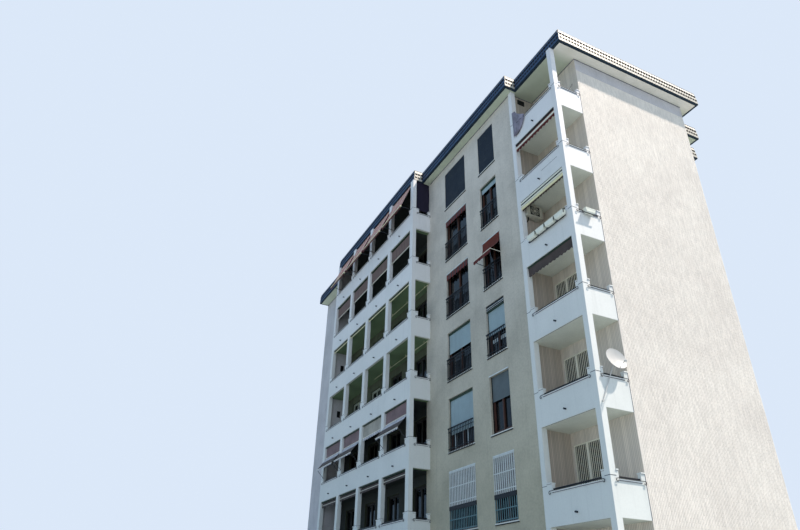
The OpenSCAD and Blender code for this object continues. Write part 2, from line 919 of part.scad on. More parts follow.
// Fittings
module side_screen() {
    color("#3a3348")
        block(
            [x_left - parapet_t, x_left - parapet_t + cloth_t],
            [y_left + left_col_d, y_middle], [top_level + end_top, z_soffit]
        );
}

// Planters hung on the ledge's outer edge
module planter_boxes() {
    z = levels[4] + parapet_h + ledge_t - planter_drop;
    y1 = y_near - ledge_out;
    pitch = planter_w + planter_gap;
    count = floor((near_front_x[1] - near_front_x[0]) / pitch);
    color("#e9e7e0")
        for (i = [0 : count - 1]) {
            x0 = near_front_x[0] + planter_off + i * pitch;
            block([x0, x0 + planter_w], [y1 - planter_d, y1], [z, z + planter_h]);
        }
}

// An air conditioner's outdoor unit on two brackets under the loggia's ceiling
module outdoor_unit() {
    x = [x_room + unit_arm, x_room + unit_arm + unit_d];
    y = [y_near + unit_back, y_near + unit_back + unit_l];
    z = [ceiling_z(4) - unit_gap - unit_h, ceiling_z(4) - unit_gap];
    color("#cdc8ba") {
        difference() {
            block(x, y, z);
            translate([x[1] - unit_fan_d, middle_of(y), middle_of(z)])
                rotate([0, 90, 0]) cylinder(h = unit_fan_d + over, d = unit_fan);
        }
        for (k = [1, 3]) {
            ya = y[0] + k * unit_l / 4 - unit_arm / 2;
            block([x_room, x[1]], [ya, ya + unit_arm], [z[0] - unit_arm, z[0]]);
            block([x_room, x[0]], [ya, ya + unit_arm], [z[0] - unit_arm, middle_of(z)]);
        }
    }
}

// The dish's sheet, open along its axis
module dish_bowl() {
    steps = 8;
    r = dish_d / 2;
    rotate_extrude()
        polygon(concat(
            [for (i = [0 : steps]) [r * i / steps, dish_depth * pow(i / steps, 2)]],
            [for (i = [steps : -1 : 0]) [r * i / steps, dish_depth * pow(i / steps, 2) - dish_t]]
        ));
}

// A round bar between two points
module bar(a, b, d) {
    v = b - a;
    translate(a)
        rotate([0, acos(v[2] / norm(v)), atan2(v[1], v[0])])
            cylinder(h = norm(v), d = d);
}

// The dish, its hub and its receiver on an arm, about the dish's own axis
module dish_head() {
    rim = [dish_d / 2 - arm_d, 0, dish_depth * pow(1 - 2 * arm_d / dish_d, 2) - dish_t / 2];
    feed = [feed_down, 0, feed_out];
    dish_bowl();
    translate([0, 0, -hub_l]) cylinder(h = hub_l - dish_t / 2, d = hub_d);
    bar(rim, feed, arm_d);
    bar(feed, feed * (1 + feed_d / norm(feed)), feed_d);
}

// The dish on a mast that leans out from a boss on the corner column
module satellite_dish() {
    level = levels[2];
    centre = [x_gable + dish_out, y_near + dish_back, level + dish_z];
    axis = [sin(dish_tilt) * cos(dish_turn), sin(dish_tilt) * sin(dish_turn), cos(dish_tilt)];
    foot = [x_gable + mast_d, y_near + near_col / 2, level + mast_z];
    color("whitesmoke") {
        translate(centre) rotate([0, dish_tilt, dish_turn]) dish_head();
        bar(foot, centre - axis * hub_l / 2, mast_d);
        translate([x_gable, foot[1], foot[2]])
            rotate([0, 90, 0]) cylinder(h = 2 * mast_d, d = 2 * mast_d);
    }
}

ground_slab();
plinth_walls();
floor_slabs();
near_slabs();
left_slabs();
gable_wall();
near_back_piers();
near_back_spandrels();
near_partition();
middle_piers();
middle_spandrels();
left_back_piers();
left_back_spandrels();
left_end_wall();
far_left_wall();
party_wall();
rear_steps();
rear_piers();
rear_spandrels();
near_columns();
left_columns();
near_parapets();
left_parapets();
parapet_ends();
parapet_ledges();
handrails();
roof_slab();
long_gutters();
side_gutters();
long_skirts();
side_skirts();
roof_cap();
window_sills();
window_guards();
front_frames();
loggia_frames();
rear_frames();
window_glass();
roller_shutters();
near_awnings();
top_awnings();
drop_awnings();
slanted_awnings();
window_awnings();
hanging_cloth();
side_screen();
planter_boxes();
outdoor_unit();
satellite_dish();
drain_spouts();
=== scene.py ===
"""Looks of the apartment block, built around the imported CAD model."""
import json
import math

import bpy
import numpy as np
from mathutils import Matrix, Vector


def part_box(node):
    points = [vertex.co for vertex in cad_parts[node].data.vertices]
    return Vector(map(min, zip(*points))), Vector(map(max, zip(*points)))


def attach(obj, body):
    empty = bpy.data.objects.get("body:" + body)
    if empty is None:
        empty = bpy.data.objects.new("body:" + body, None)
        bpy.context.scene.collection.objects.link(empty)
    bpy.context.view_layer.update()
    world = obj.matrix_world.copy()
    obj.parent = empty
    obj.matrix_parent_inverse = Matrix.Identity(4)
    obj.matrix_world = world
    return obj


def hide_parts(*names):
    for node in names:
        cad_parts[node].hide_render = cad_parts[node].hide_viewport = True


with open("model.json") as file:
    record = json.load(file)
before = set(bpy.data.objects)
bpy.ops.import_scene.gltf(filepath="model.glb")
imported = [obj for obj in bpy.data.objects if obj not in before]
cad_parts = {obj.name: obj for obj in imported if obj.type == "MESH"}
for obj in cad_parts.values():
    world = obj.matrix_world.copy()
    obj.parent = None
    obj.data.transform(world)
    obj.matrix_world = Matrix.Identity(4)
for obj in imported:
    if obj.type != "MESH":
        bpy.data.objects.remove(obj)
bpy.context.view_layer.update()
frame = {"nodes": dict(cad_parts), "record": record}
NODES = frame["nodes"]

# Sizes in metres, as in the CAD frame
PLINTH, STOREY = 1.034, 3.05
LEVELS = [PLINTH + STOREY * j for j in range(7)]
SOFFIT = 22.494
LAPS = (22.564, 22.809, 23.054, 23.184)
X_GABLE, X_NEAR, X_ROOM, X_LEFT = 13.895, 10.875, 10.945, 3.315
X_END, X_FAR = -8.085, -13.895
Y_LEFT, Y_NEAR, Y_MID, Y_BACK, Y_DOOR = -5.795, -4.805, -4.755, -4.455, -3.495
Y_REAR0, Y_REAR = 2.735, 5.795
SILL, HEAD = 0.40, 2.65
WIN_A, WIN_B = (4.965, 6.915), (8.145, 9.435)
DOOR = (11.045, 12.345)
BAY, COL_W = 2.77, 0.32
BAYS = [(X_LEFT - BAY * (i + 1), X_LEFT - BAY * i - COL_W) for i in range(4)]
NEAR_X = (11.355, 13.555)
NEAR_SIDE_Y = (-4.495, -3.655)
LEFT_SIDE_Y = (-5.435, -4.885)
REAR_PITCH, HALF_REAR = 4.18, 0.65
REAR_MIDS = [X_FAR + (i + 0.5) * REAR_PITCH for i in range(6)]
REAR_WINS = [(mid - HALF_REAR, mid + HALF_REAR) for mid in REAR_MIDS]
REAR_SILL = 1.15
GABLE_Y0, GABLE_COLS = Y_DOOR + 0.006, 97
TILE_W, TILE_H = (Y_REAR0 - GABLE_Y0) / GABLE_COLS, 0.244
BEAM_Z = 21.83

rng = np.random.default_rng(7)


# Materials
def lin(rgb):
    """A colour written as it should look on screen, as linear RGBA."""
    return tuple(c / 12.92 if c <= 0.04045 else ((c + 0.055) / 1.055) ** 2.4 for c in rgb) + (1.0,)


def dim(rgb, k):
    return tuple(min(1.0, c * k) for c in rgb)


def feed(tree, socket, value):
    """Links a socket to another one, or sets its value."""
    if isinstance(value, bpy.types.NodeSocket):
        tree.links.new(value, socket)
    else:
        socket.default_value = value


class Look:
    """One procedural material, with short names for the nodes it uses."""

    def __init__(self, name, rough=0.75, metallic=0.0, specular=0.35):
        self.mat = bpy.data.materials.new(name)
        self.mat.use_nodes = True
        self.tree = self.mat.node_tree
        self.tree.nodes.clear()
        out = self.tree.nodes.new("ShaderNodeOutputMaterial")
        self.bsdf = self.tree.nodes.new("ShaderNodeBsdfPrincipled")
        self.tree.links.new(self.bsdf.outputs[0], out.inputs[0])
        self.set("Roughness", rough)
        self.set("Metallic", metallic)
        self.set("Specular IOR Level", specular)
        self.place = self.tree.nodes.new("ShaderNodeTexCoord").outputs["Object"]
        self.normal = None

    def put(self, socket, value):
        feed(self.tree, socket, value)

    def set(self, name, value):
        self.put(self.bsdf.inputs[name], value)

    def node(self, kind, props=None, inputs=()):
        n = self.tree.nodes.new("ShaderNode" + kind)
        for key, value in (props or {}).items():
            setattr(n, key, value)
        for key, value in dict(inputs).items():
            self.put(n.inputs[key], value)
        return n

    def calc(self, operation, a, b=0.0, clamp=False):
        return self.node("Math", {"operation": operation, "use_clamp": clamp}, {0: a, 1: b}).outputs[0]

    def stretched(self, scale):
        return self.node("VectorMath", {"operation": "MULTIPLY"}, {0: self.place, 1: scale}).outputs[0]

    def noise(self, scale, detail=3.0, rough=0.55, stretch=None):
        at = self.place if stretch is None else self.stretched(stretch)
        return self.node("TexNoise", {}, {"Vector": at, "Scale": scale, "Detail": detail,
                                          "Roughness": rough}).outputs["Fac"]

    def ramp(self, fac, stops, smooth=False):
        n = self.node("ValToRGB", {}, {0: fac})
        n.color_ramp.interpolation = "EASE" if smooth else "LINEAR"
        e = n.color_ramp.elements
        while len(e) < len(stops):
            e.new(0.5)
        for k, (at, colour) in enumerate(stops):
            e[k].position = at
            e[k].color = colour if len(colour) == 4 else lin(colour)
        return n.outputs[0]

    def level(self, fac, low, high):
        """A value from 0 at low to 1 at high."""
        return self.node("MapRange", {}, {0: fac, 1: low, 2: high}).outputs[0]

    def mix(self, fac, a, b, blend="MIX"):
        n = self.node("Mix", {"data_type": "RGBA", "blend_type": blend})
        self.put(n.inputs[0], fac)
        self.put(n.inputs[6], a)
        self.put(n.inputs[7], b)
        return n.outputs[2]

    def bump(self, height, strength=0.3, distance=0.004):
        inputs = {"Height": height, "Strength": strength, "Distance": distance}
        if self.normal is not None:
            inputs["Normal"] = self.normal
        self.normal = self.node("Bump", {}, inputs).outputs[0]
        self.set("Normal", self.normal)

    def axes(self):
        s = self.node("SeparateXYZ", {}, {0: self.place})
        return s.outputs[0], s.outputs[1], s.outputs[2]

    def cells(self, u, v, w, h):
        """Where a point lies in a field of w by h cells: two places from 0 to 1 and one chance value."""
        fu, fv = self.calc("DIVIDE", u, w), self.calc("DIVIDE", v, h)
        cu, cv = self.calc("FLOOR", fu), self.calc("FLOOR", fv)
        spot = self.node("CombineXYZ", {}, {0: cu, 1: cv, 2: 0.5}).outputs[0]
        chance = self.node("TexWhiteNoise", {"noise_dimensions": "3D"}, {0: spot}).outputs["Value"]
        return self.calc("SUBTRACT", fu, cu), self.calc("SUBTRACT", fv, cv), chance

    def joints(self, a, b, wa, wb):
        """1 inside a cell and 0 on its joints of relative widths wa and wb."""
        def edge(t, w):
            d = self.calc("ABSOLUTE", self.calc("SUBTRACT", t, 0.5))
            return self.node("MapRange", {}, {0: d, 1: 0.5, 2: 0.5 - w}).outputs[0]
        return self.calc("MULTIPLY", edge(a, wa), edge(b, wb))


def mottled(name, tone, spread=0.05, scale=1.2, fine=30.0, rough=0.8, grain=120.0, bump=0.25, depth=0.003,
            streak=0.0, metallic=0.0, specular=0.35, ground_tint=None):
    """Paint, render or stone: broad mottling, fine grain and, where asked, dirt that has run down and a tint
    that darkens towards the ground."""
    m = Look(name, rough, metallic, specular)
    broad = m.noise(scale, 5, 0.6)
    colour = m.ramp(broad, [(0.30, dim(tone, 1 - spread)), (0.50, tone), (0.72, dim(tone, 1 + spread * 0.7))])
    speck = m.ramp(m.noise(fine, 2), [(0.35, dim((1, 1, 1), 1 - spread * 0.6)), (0.6, (1, 1, 1))])
    colour = m.mix(1.0, colour, speck, "MULTIPLY")
    if streak:
        run = m.noise(1.0, 4, 0.6, (5.0, 5.0, 0.32))
        run = m.calc("MULTIPLY", m.level(run, 0.54, 0.74), streak)
        colour = m.mix(run, colour, lin(dim(tone, 0.55)))
    # A tint that darkens towards the ground; on the white paint it is painted shade.
    if ground_tint:
        low, middle = ground_tint
        up = m.calc("ADD", m.calc("DIVIDE", m.axes()[2], 24.0), m.calc("MULTIPLY", broad, 0.12))
        colour = m.mix(1.0, colour, m.ramp(up, [(0.27, low), (0.58, middle), (0.92, (1, 1, 1))]), "MULTIPLY")
    m.set("Base Color", colour)
    m.set("Roughness", m.node("MapRange", {}, {0: broad, 1: 0.3, 2: 0.7, 3: max(0.05, rough - 0.08),
                                               4: min(1.0, rough + 0.08)}).outputs[0])
    m.bump(m.noise(grain, 3), bump, depth)
    return m.mat


def paint(name, tone, spread, scale=3, fine=40, rough=0.4, bump=0.1, streak=0.1):
    """Smooth paint or enamel."""
    return mottled(name, tone, spread, scale, fine, rough, 120, bump, 0.001, streak)


def ribbed(name, tone, joint, spread=0.06, pitch=0.064, depth=0.005, rough=0.78, wash=0.5):
    """Upright ribs side by side, with a chance tone for each rib."""
    m = Look(name, rough)
    x, y, z = m.axes()
    a, _, chance = m.cells(m.calc("ADD", x, y), 0.5, pitch, 1.0)
    inside = m.joints(a, 0.5, 0.20, 0.1)
    colour = m.ramp(chance, [(0.0, dim(tone, 1 - spread)), (0.5, tone), (1.0, dim(tone, 1 + spread))])
    wide = m.ramp(m.noise(0.7, 5, 0.6), [(0.3, dim((1, 1, 1), 1 - 0.16 * wash)), (0.7, (1, 1, 1))])
    colour = m.mix(1.0, colour, wide, "MULTIPLY")
    m.set("Base Color", m.mix(inside, lin(joint), colour))
    m.bump(inside, 0.7, depth)
    m.bump(m.noise(90, 3, 0.6, (1, 1, 0.35)), 0.3, 0.002)
    return m.mat


def woven(name, tone, second=None, pitch=0.24, share=0.5, rough=0.9, fade=0.10, weave=900.0, along="x"):
    """Canvas: a fine weave, faded patches and, with a second tone, woven stripes."""
    m = Look(name, rough, 0.0, 0.2)
    x, y, z = m.axes()
    colour = m.ramp(m.noise(2.2, 4, 0.6), [(0.3, dim(tone, 1 - fade)), (0.7, dim(tone, 1 + fade))])
    if second:
        other = m.ramp(m.noise(2.2, 4, 0.6), [(0.3, dim(second, 1 - fade * 0.6)), (0.7, dim(second, 1.0))])
        u = m.calc("ADD", x, 40.0) if along == "x" else m.calc("ADD", y, 40.0)
        t = m.calc("DIVIDE", u, pitch)
        t = m.calc("SUBTRACT", t, m.calc("FLOOR", t))
        colour = m.mix(m.calc("LESS_THAN", t, share), colour, other)
    threads = m.node("TexChecker", {}, {"Vector": m.place, "Scale": weave}).outputs["Fac"]
    colour = m.mix(m.calc("MULTIPLY", threads, 0.10), colour, lin(dim(tone, 0.6)))
    m.set("Base Color", colour)
    m.set("Sheen Weight", 0.10)
    m.bump(m.noise(14, 3), 0.4, 0.004)
    m.bump(threads, 0.2, 0.0005)
    return m.mat


def wooden(name, tone, rough=0.45):
    m = Look(name, rough, 0.0, 0.4)
    grain = m.noise(9.0, 6, 0.65, (9, 9, 0.7))
    m.set("Base Color", m.ramp(grain, [(0.3, dim(tone, 0.72)), (0.5, tone), (0.75, dim(tone, 1.25))]))
    m.bump(grain, 0.25, 0.002)
    return m.mat


def glazed(name, tint):
    m = Look(name, 0.04, 0.0, 0.6)
    wave = m.noise(1.3, 2, 0.4)
    m.set("Base Color", m.ramp(wave, [(0.3, dim(tint, 0.85)), (0.7, dim(tint, 1.1))]))
    m.set("Transmission Weight", 0.85)
    m.set("IOR", 1.45)
    m.bump(wave, 0.12, 0.01)
    return m.mat


def barrel(name, tone, spread=0.10, rough=0.45, specular=0.45):
    """Hung roof tile: a chance tone for each tile, with weathered patches."""
    m = Look(name, rough, 0.0, specular)
    x, y, z = m.axes()
    _, _, chance = m.cells(m.calc("ADD", x, y), z, 0.155, 0.29)
    colour = m.ramp(chance, [(0.0, dim(tone, 1 - spread)), (1.0, dim(tone, 1 + spread))])
    worn = m.ramp(m.noise(6, 5, 0.65), [(0.35, dim((1, 1, 1), 0.86)), (0.65, (1, 1, 1))])
    m.set("Base Color", m.mix(1.0, colour, worn, "MULTIPLY"))
    m.bump(m.noise(70, 3), 0.3, 0.002)
    return m.mat


LOOKS = {
    "concrete": mottled("concrete", (0.66, 0.65, 0.61), 0.08, 1.0, 45, 0.88, 90, 0.4, 0.004, 0.2),
    "plaster": mottled("plaster", (0.865, 0.83, 0.79), 0.075, 0.6, 13, 0.9, 160, 0.45, 0.004, 0.12,
                       ground_tint=((0.87, 0.875, 0.815), (0.91, 0.915, 0.90))),
    "ribbed_cladding": mottled("gable_joint", (0.88, 0.84, 0.80), 0.04, 1.0, 30, 0.85),
    "loggia_cladding": ribbed("loggia_cladding", (0.90, 0.855, 0.80), (0.70, 0.65, 0.60), 0.05, wash=0.2),
    "ceiling_paint": mottled("ceiling_paint", (0.88, 0.885, 0.84), 0.04, 0.9, 18, 0.85, 60, 0.15),
    # The white paint's ground tint, darker and greener on the lower storeys, is painted shade.
    "white_paint": mottled("white_paint", (0.94, 0.93, 0.935), 0.02, 0.7, 16, 0.6, 70, 0.12, 0.002, 0.10,
                           ground_tint=((0.945, 0.965, 0.945), (0.965, 0.975, 0.96))),
    "rail_paint": mottled("rail_paint", (0.10, 0.11, 0.13), 0.12, 4, 60, 0.4, 200, 0.15, 0.001),
    "gutter_metal": mottled("gutter_metal", (0.19, 0.24, 0.29), 0.10, 2, 40, 0.75, 80, 0.15, 0.001, 0.2,
                            specular=0.08),
    # The skirt's backing is painted near black as shade in the tiles' open ends.
    "skirt_tile": mottled("skirt_backing_painted_shade", (0.13, 0.13, 0.15), 0.08, 3, 30, 0.8),
    "cap_metal": mottled("cap_metal", (0.52, 0.47, 0.43), 0.05, 2, 30, 0.45, 60, 0.12, 0.001, 0.2),
    "sill_stone": mottled("sill_stone", (0.88, 0.875, 0.85), 0.05, 5, 60, 0.5, 160, 0.15, 0.001, 0.15),
    "brown_frame": wooden("brown_frame", (0.30, 0.19, 0.15)),
    "white_frame": paint("white_frame", (0.87, 0.865, 0.84), 0.03),
    # The glass's dark tint is painted shade of the dim rooms behind the panes.
    "glass": glazed("glass", (0.18, 0.21, 0.24)),
    "dish_metal": mottled("dish_metal", (0.80, 0.79, 0.775), 0.02, 4, 50, 0.35, 200, 0.08, 0.0006, 0.05),
    "spout_metal": mottled("spout_metal", (0.20, 0.22, 0.25), 0.10, 8, 60, 0.45, 120, 0.15, 0.001),
    "unit_metal": mottled("unit_metal", (0.78, 0.76, 0.70), 0.05, 5, 50, 0.45, 150, 0.1, 0.001, 0.2),
}
PLASTER_GREY = mottled("plaster_grey", (0.80, 0.785, 0.795), 0.07, 0.7, 18, 0.92, 160, 0.5, 0.004, 0.12)
# Painted shade and green reflected light: the long loggias' ceilings are painted dark green.
LEFT_CEILING_SHADED = mottled("left_ceiling_painted_shade", (0.46, 0.54, 0.41), 0.06, 0.9, 18, 0.85, 60, 0.15)
# Painted shade: a dark colour for sheets where the awnings shade the long loggias.
PAINTED_SHADE_DARK = mottled("painted_shade_dark", (0.23, 0.25, 0.24), 0.08, 0.9, 18, 0.85, 60, 0.15)
# Painted shade: the corner loggias' partition is the loggia cladding painted darker.
PARTITION_SHADED = ribbed("partition_cladding_painted_shade", (0.76, 0.71, 0.66), (0.57, 0.52, 0.47), 0.05, wash=0.2)
# Painted shade: the long loggias' back walls are painted dark where the awnings shade them.
LEFT_CLADDING_SHADED = ribbed("left_cladding_painted_shade", (0.35, 0.37, 0.29), (0.26, 0.27, 0.22), 0.08)
LEDGE_WHITE = paint("ledge_white", (0.93, 0.93, 0.92), 0.02, rough=0.5)
# Dark joints and seams; also painted shadow: the strip under the eaves and the lines under ledges, plates and
# parapets.
JOINT_AND_SHADOW_GREY = mottled("joint_and_shadow_grey", (0.42, 0.41, 0.46), 0.08, 3, 40, 0.8)
SKIRT_CREAM = barrel("skirt_cream", (0.84, 0.81, 0.755), 0.03, 0.5)
SKIRT_NAVY = barrel("skirt_navy", (0.17, 0.28, 0.42), 0.12, 0.42)
SHUTTER_DARK = mottled("shutter_dark", (0.07, 0.13, 0.20), 0.06, 2, 30, 0.5, 80, 0.1, 0.001, 0.1)
SHUTTER_PALE = mottled("shutter_pale", (0.64, 0.72, 0.75), 0.04, 2, 30, 0.5, 80, 0.1, 0.001, 0.15)
SCREEN_GREY = woven("screen_grey", (0.38, 0.42, 0.44), fade=0.06)
GREEN_PAINT = paint("green_paint", (0.15, 0.24, 0.17), 0.15, 5, 60, 0.5, 0.15, 0.0)
# Black paint; also painted shadow and shade: strips under the sills, gaps in the awnings and the sheet on the
# outdoor unit.
BLACK_PAINT_AND_SHADE = paint("black_paint_and_shade", (0.06, 0.065, 0.08), 0.15, 5, 60, 0.5, 0.15, 0.0)
TUB_WHITE = paint("tub_white", (0.95, 0.95, 0.90), 0.04, rough=0.5, streak=0.2)
GUARD_CREAM = paint("guard_cream", (0.97, 0.95, 0.88), 0.03, 6, 60, streak=0.05)
GRILLE_WHITE = paint("grille_white", (0.86, 0.88, 0.88), 0.05, 6, 60)
GRILLE_TEAL = paint("grille_teal", (0.40, 0.53, 0.56), 0.08, 6, 60)
BAR_CREAM = paint("bar_cream", (0.94, 0.92, 0.86), 0.03, 6, 60)
BAR_YELLOW = paint("bar_yellow", (0.97, 0.94, 0.78), 0.03, 6, 60)
# Painted shadow under the laps of the skirt tiles.
LAP_SHADOW = mottled("lap_painted_shadow", (0.13, 0.09, 0.08), 0.15, 5, 60, 0.9)
# Painted shade: white doors painted grey where they stand in shade.
DOOR_WHITE_SHADED = paint("door_white_painted_shade", (0.64, 0.66, 0.60), 0.04)
DARK_DOOR = wooden("dark_door", (0.15, 0.14, 0.12))
SOIL = mottled("soil", (0.27, 0.21, 0.16), 0.20, 9, 90, 0.95, 300, 0.6, 0.006)
CLOTH_BROWN = woven("cloth_brown", (0.44, 0.27, 0.23))
CLOTH_RED = woven("cloth_red", (0.40, 0.16, 0.11))
CLOTH_DARKRED = woven("cloth_darkred", (0.36, 0.13, 0.12))
CLOTH_MAROON = woven("cloth_maroon", (0.44, 0.19, 0.18), (0.27, 0.23, 0.25), 0.24, 0.5)
CLOTH_STRIPED = woven("cloth_striped", (0.66, 0.17, 0.13), (0.98, 0.87, 0.80), 0.36, 0.50)
CLOTH_UMBER = woven("cloth_umber", (0.26, 0.20, 0.16))
CLOTH_GREY = woven("cloth_grey", (0.56, 0.54, 0.60), fade=0.22)
CLOTH_BROWNGREY = woven("cloth_browngrey", (0.31, 0.27, 0.26))
CLOTH_PINKISH = woven("cloth_pinkish", (0.40, 0.31, 0.30), (0.49, 0.41, 0.38), 0.20, 0.6)
CLOTH_MAUVE = woven("cloth_mauve", (0.50, 0.42, 0.43))
CLOTH_PALE = woven("cloth_pale", (0.86, 0.85, 0.87), (0.70, 0.70, 0.73), 0.24, 0.6)
CLOTH_BEIGE = woven("cloth_beige", (0.68, 0.66, 0.62))
SCREEN_NAVY = woven("screen_navy", (0.14, 0.12, 0.20), fade=0.06)
LACE = woven("lace", (0.72, 0.76, 0.78), fade=0.05)
ROOF_FELT = mottled("roof_felt", (0.50, 0.50, 0.49), 0.10, 0.6, 60, 0.95, 300, 0.6, 0.004, 0.0)


def gable_tile():
    """Split ceramic tile in one matt cream, each tile a little different, with rain marks."""
    m = Look("gable_tile", 0.66)
    x, y, z = m.axes()
    column = m.calc("FLOOR", m.calc("DIVIDE", m.calc("SUBTRACT", y, GABLE_Y0), TILE_W))
    shift = m.calc("MULTIPLY", m.calc("FLOORED_MODULO", column, 2.0), TILE_H / 2)
    _, _, chance = m.cells(m.calc("SUBTRACT", y, GABLE_Y0), m.calc("ADD", z, shift), TILE_W, TILE_H)
    tone = (0.945, 0.912, 0.873)
    colour = m.ramp(chance, [(0.0, dim(tone, 0.97)), (0.5, tone), (1.0, dim(tone, 1.03))])
    wide = m.ramp(m.noise(0.45, 5, 0.6), [(0.32, (0.955, 0.95, 0.95)), (0.66, (1, 1, 1))])
    colour = m.mix(1.0, colour, wide, "MULTIPLY")
    run = m.level(m.noise(1.0, 4, 0.6, (3.0, 3.0, 0.2)), 0.56, 0.8)
    m.set("Base Color", m.mix(m.calc("MULTIPLY", run, 0.08), colour, lin((0.74, 0.70, 0.67))))
    m.bump(m.noise(60, 3, 0.6, (1, 1, 0.25)), 0.2, 0.002)
    return m.mat


def roof_soffit_painted_light():
    """Plaster soffit with painted light: a greenish reflected light inside, and paler, warmer light beyond the
    gable's plane.
    """
    m = Look("roof_soffit_painted_light", 0.85)
    beyond = m.level(m.axes()[0], 13.5, 14.0)
    inner = m.ramp(m.noise(0.9, 5, 0.6), [(0.3, (0.76, 0.78, 0.70)), (0.7, (0.81, 0.83, 0.75))])
    outer = m.ramp(m.noise(1.6, 5, 0.6), [(0.3, (0.93, 0.90, 0.85)), (0.7, (0.97, 0.94, 0.90))])
    m.set("Base Color", m.mix(beyond, inner, outer))
    m.bump(m.noise(60, 3), 0.15, 0.003)
    return m.mat


def dress(node, look):
    """Gives a CAD node its material."""
    materials = NODES[node].data.materials
    materials.clear()
    materials.append(look)


for row in frame["record"]["subparts"]:
    if row["material_slot"] in LOOKS:
        dress(row["node"], LOOKS[row["material_slot"]])
for names, look in (("far_left_wall left_end_wall", PLASTER_GREY), ("left_slabs", LEFT_CEILING_SHADED),
                    ("left_back_piers left_back_spandrels", LEFT_CLADDING_SHADED), ("near_partition", PARTITION_SHADED),
                    ("roof_slab", roof_soffit_painted_light()), ("parapet_ledges planter_boxes", LEDGE_WHITE)):
    for name in names.split():
        dress(name, look)


# Meshes
CUBE = np.array([(x, y, z) for z in (0, 1) for x, y in ((0, 0), (1, 0), (1, 1), (0, 1))], float)
CUBE_FACES = [(0, 3, 2, 1), (4, 5, 6, 7), (0, 1, 5, 4), (1, 2, 6, 5), (2, 3, 7, 6), (3, 0, 4, 7)]


def new_object(name, verts, faces, look, slot=None):
    """A mesh object that rides on the building; the stage has no slot and rides on nothing."""
    mesh = bpy.data.meshes.new(name)
    mesh.from_pydata(verts, [], faces)
    mesh.materials.append(look)
    obj = bpy.data.objects.new(name, mesh)
    bpy.context.scene.collection.objects.link(obj)
    if slot:
        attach(obj, "root")
    return obj


class Bits:
    """Small solids that share one mesh."""

    def __init__(self):
        self.v, self.f, self.n = [], [], 0

    def add(self, verts, faces):
        verts = np.asarray(verts, float).reshape(-1, 3)
        self.v.append(verts)
        self.f.append([tuple(i + self.n for i in face) for face in faces])
        self.n += len(verts)

    def box(self, x, y, z):
        lo, hi = np.array([x[0], y[0], z[0]]), np.array([x[1], y[1], z[1]])
        self.add(lo + CUBE * (hi - lo), CUBE_FACES)

    def tube(self, points, r, sides=8, closed_ends=True):
        pts = np.asarray(points, float)
        along = np.gradient(pts, axis=0)
        along /= np.linalg.norm(along, axis=1)[:, None]
        ref = np.array([0, 0, 1.0]) if abs(along[0][2]) < 0.9 else np.array([1.0, 0, 0])
        side = np.cross(along[0], ref)
        side /= np.linalg.norm(side)
        verts = []
        for p, t in zip(pts, along):
            side = side - t * side.dot(t)
            side /= np.linalg.norm(side)
            up = np.cross(t, side)
            for k in range(sides):
                a = 2 * math.pi * k / sides
                verts.append(p + r * (math.cos(a) * side + math.sin(a) * up))
        faces = []
        for i in range(len(pts) - 1):
            for k in range(sides):
                a, b = i * sides + k, i * sides + (k + 1) % sides
                faces.append((a, b, b + sides, a + sides))
        if closed_ends:
            faces.append(tuple(range(sides - 1, -1, -1)))
            faces.append(tuple((len(pts) - 1) * sides + k for k in range(sides)))
        self.add(verts, faces)

    def rod(self, x, y, z, r, sides):
        """A straight round bar along x."""
        self.tube([(x[0], y, z), (x[1], y, z)], r, sides)

    def make(self, name, look, slot, replaces=(), smooth=False, bevel=0.0):
        faces = [face for part in self.f for face in part]
        obj = new_object(name, np.concatenate(self.v).tolist(), faces, look, slot)
        obj.data.validate()
        if smooth:
            obj.data.shade_smooth()
            obj.data.set_sharp_from_angle(angle=math.radians(40))
        if bevel:
            b = obj.modifiers.new("edges", "BEVEL")
            b.width, b.segments, b.limit_method = bevel, 2, "ANGLE"
        if replaces:
            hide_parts(*replaces)
        return obj


def grid(name, rows, look, slot):
    """A smooth sheet through rows of points."""
    rows = np.asarray(rows, float)
    n, m = rows.shape[:2]
    faces = [(i * m + j, i * m + j + 1, (i + 1) * m + j + 1, (i + 1) * m + j)
             for i in range(n - 1) for j in range(m - 1)]
    obj = new_object(name, rows.reshape(-1, 3).tolist(), faces, look, slot)
    obj.data.shade_smooth()
    return obj


def cloth(name, path, x, look, node, rests, slot="awning_cloth", held="hung", scallop=0.0, pitch=0.22,
          sag=0.012, ripple=0.008, step=0.07, phase=0.0):
    """A cloth with its width along x that follows path, a list of (y, z) from its rail down, with sags,
    ripples that grow towards its free edge, and a scalloped edge where asked."""
    pts = np.asarray(path, float)
    seg = np.linalg.norm(np.diff(pts, axis=0), axis=1)
    s = np.concatenate([[0], np.cumsum(seg)])
    length, width = s[-1], x[1] - x[0]
    rows = max(4, int(length / step) + 1)
    cols = max(6, int(width / 0.05))
    out = np.zeros((rows, cols, 3))
    for a, t in enumerate(np.linspace(0, 1, rows)):
        for b, u in enumerate(np.linspace(0, 1, cols)):
            cut = length - scallop * (1 - abs(math.sin(math.pi * u * width / pitch))) if scallop else length
            d = t * cut
            y, z = np.interp(d, s, pts[:, 0]), np.interp(d, s, pts[:, 1])
            wave = ripple * t * math.sin(2 * math.pi * (u * width / (2.3 * pitch) + phase)) \
                + 0.4 * ripple * t * math.sin(2 * math.pi * (u * 5.3 + phase * 1.7))
            droop = sag * 4 * u * (1 - u) * math.sin(math.pi * t)
            out[a, b] = (x[0] + u * width, y + wave, z - droop)
    obj = grid(name, out, look, slot)
    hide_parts(node)
    return obj


def array_of(template, faces, spots):
    """Copies of a small mesh at each spot, ready for Bits.add."""
    template, spots = np.asarray(template, float), np.asarray(spots, float)
    verts = (template[None] + spots[:, None]).reshape(-1, 3)
    k = len(template)
    return verts, [tuple(i + n * k for i in face) for n in range(len(spots)) for face in faces]


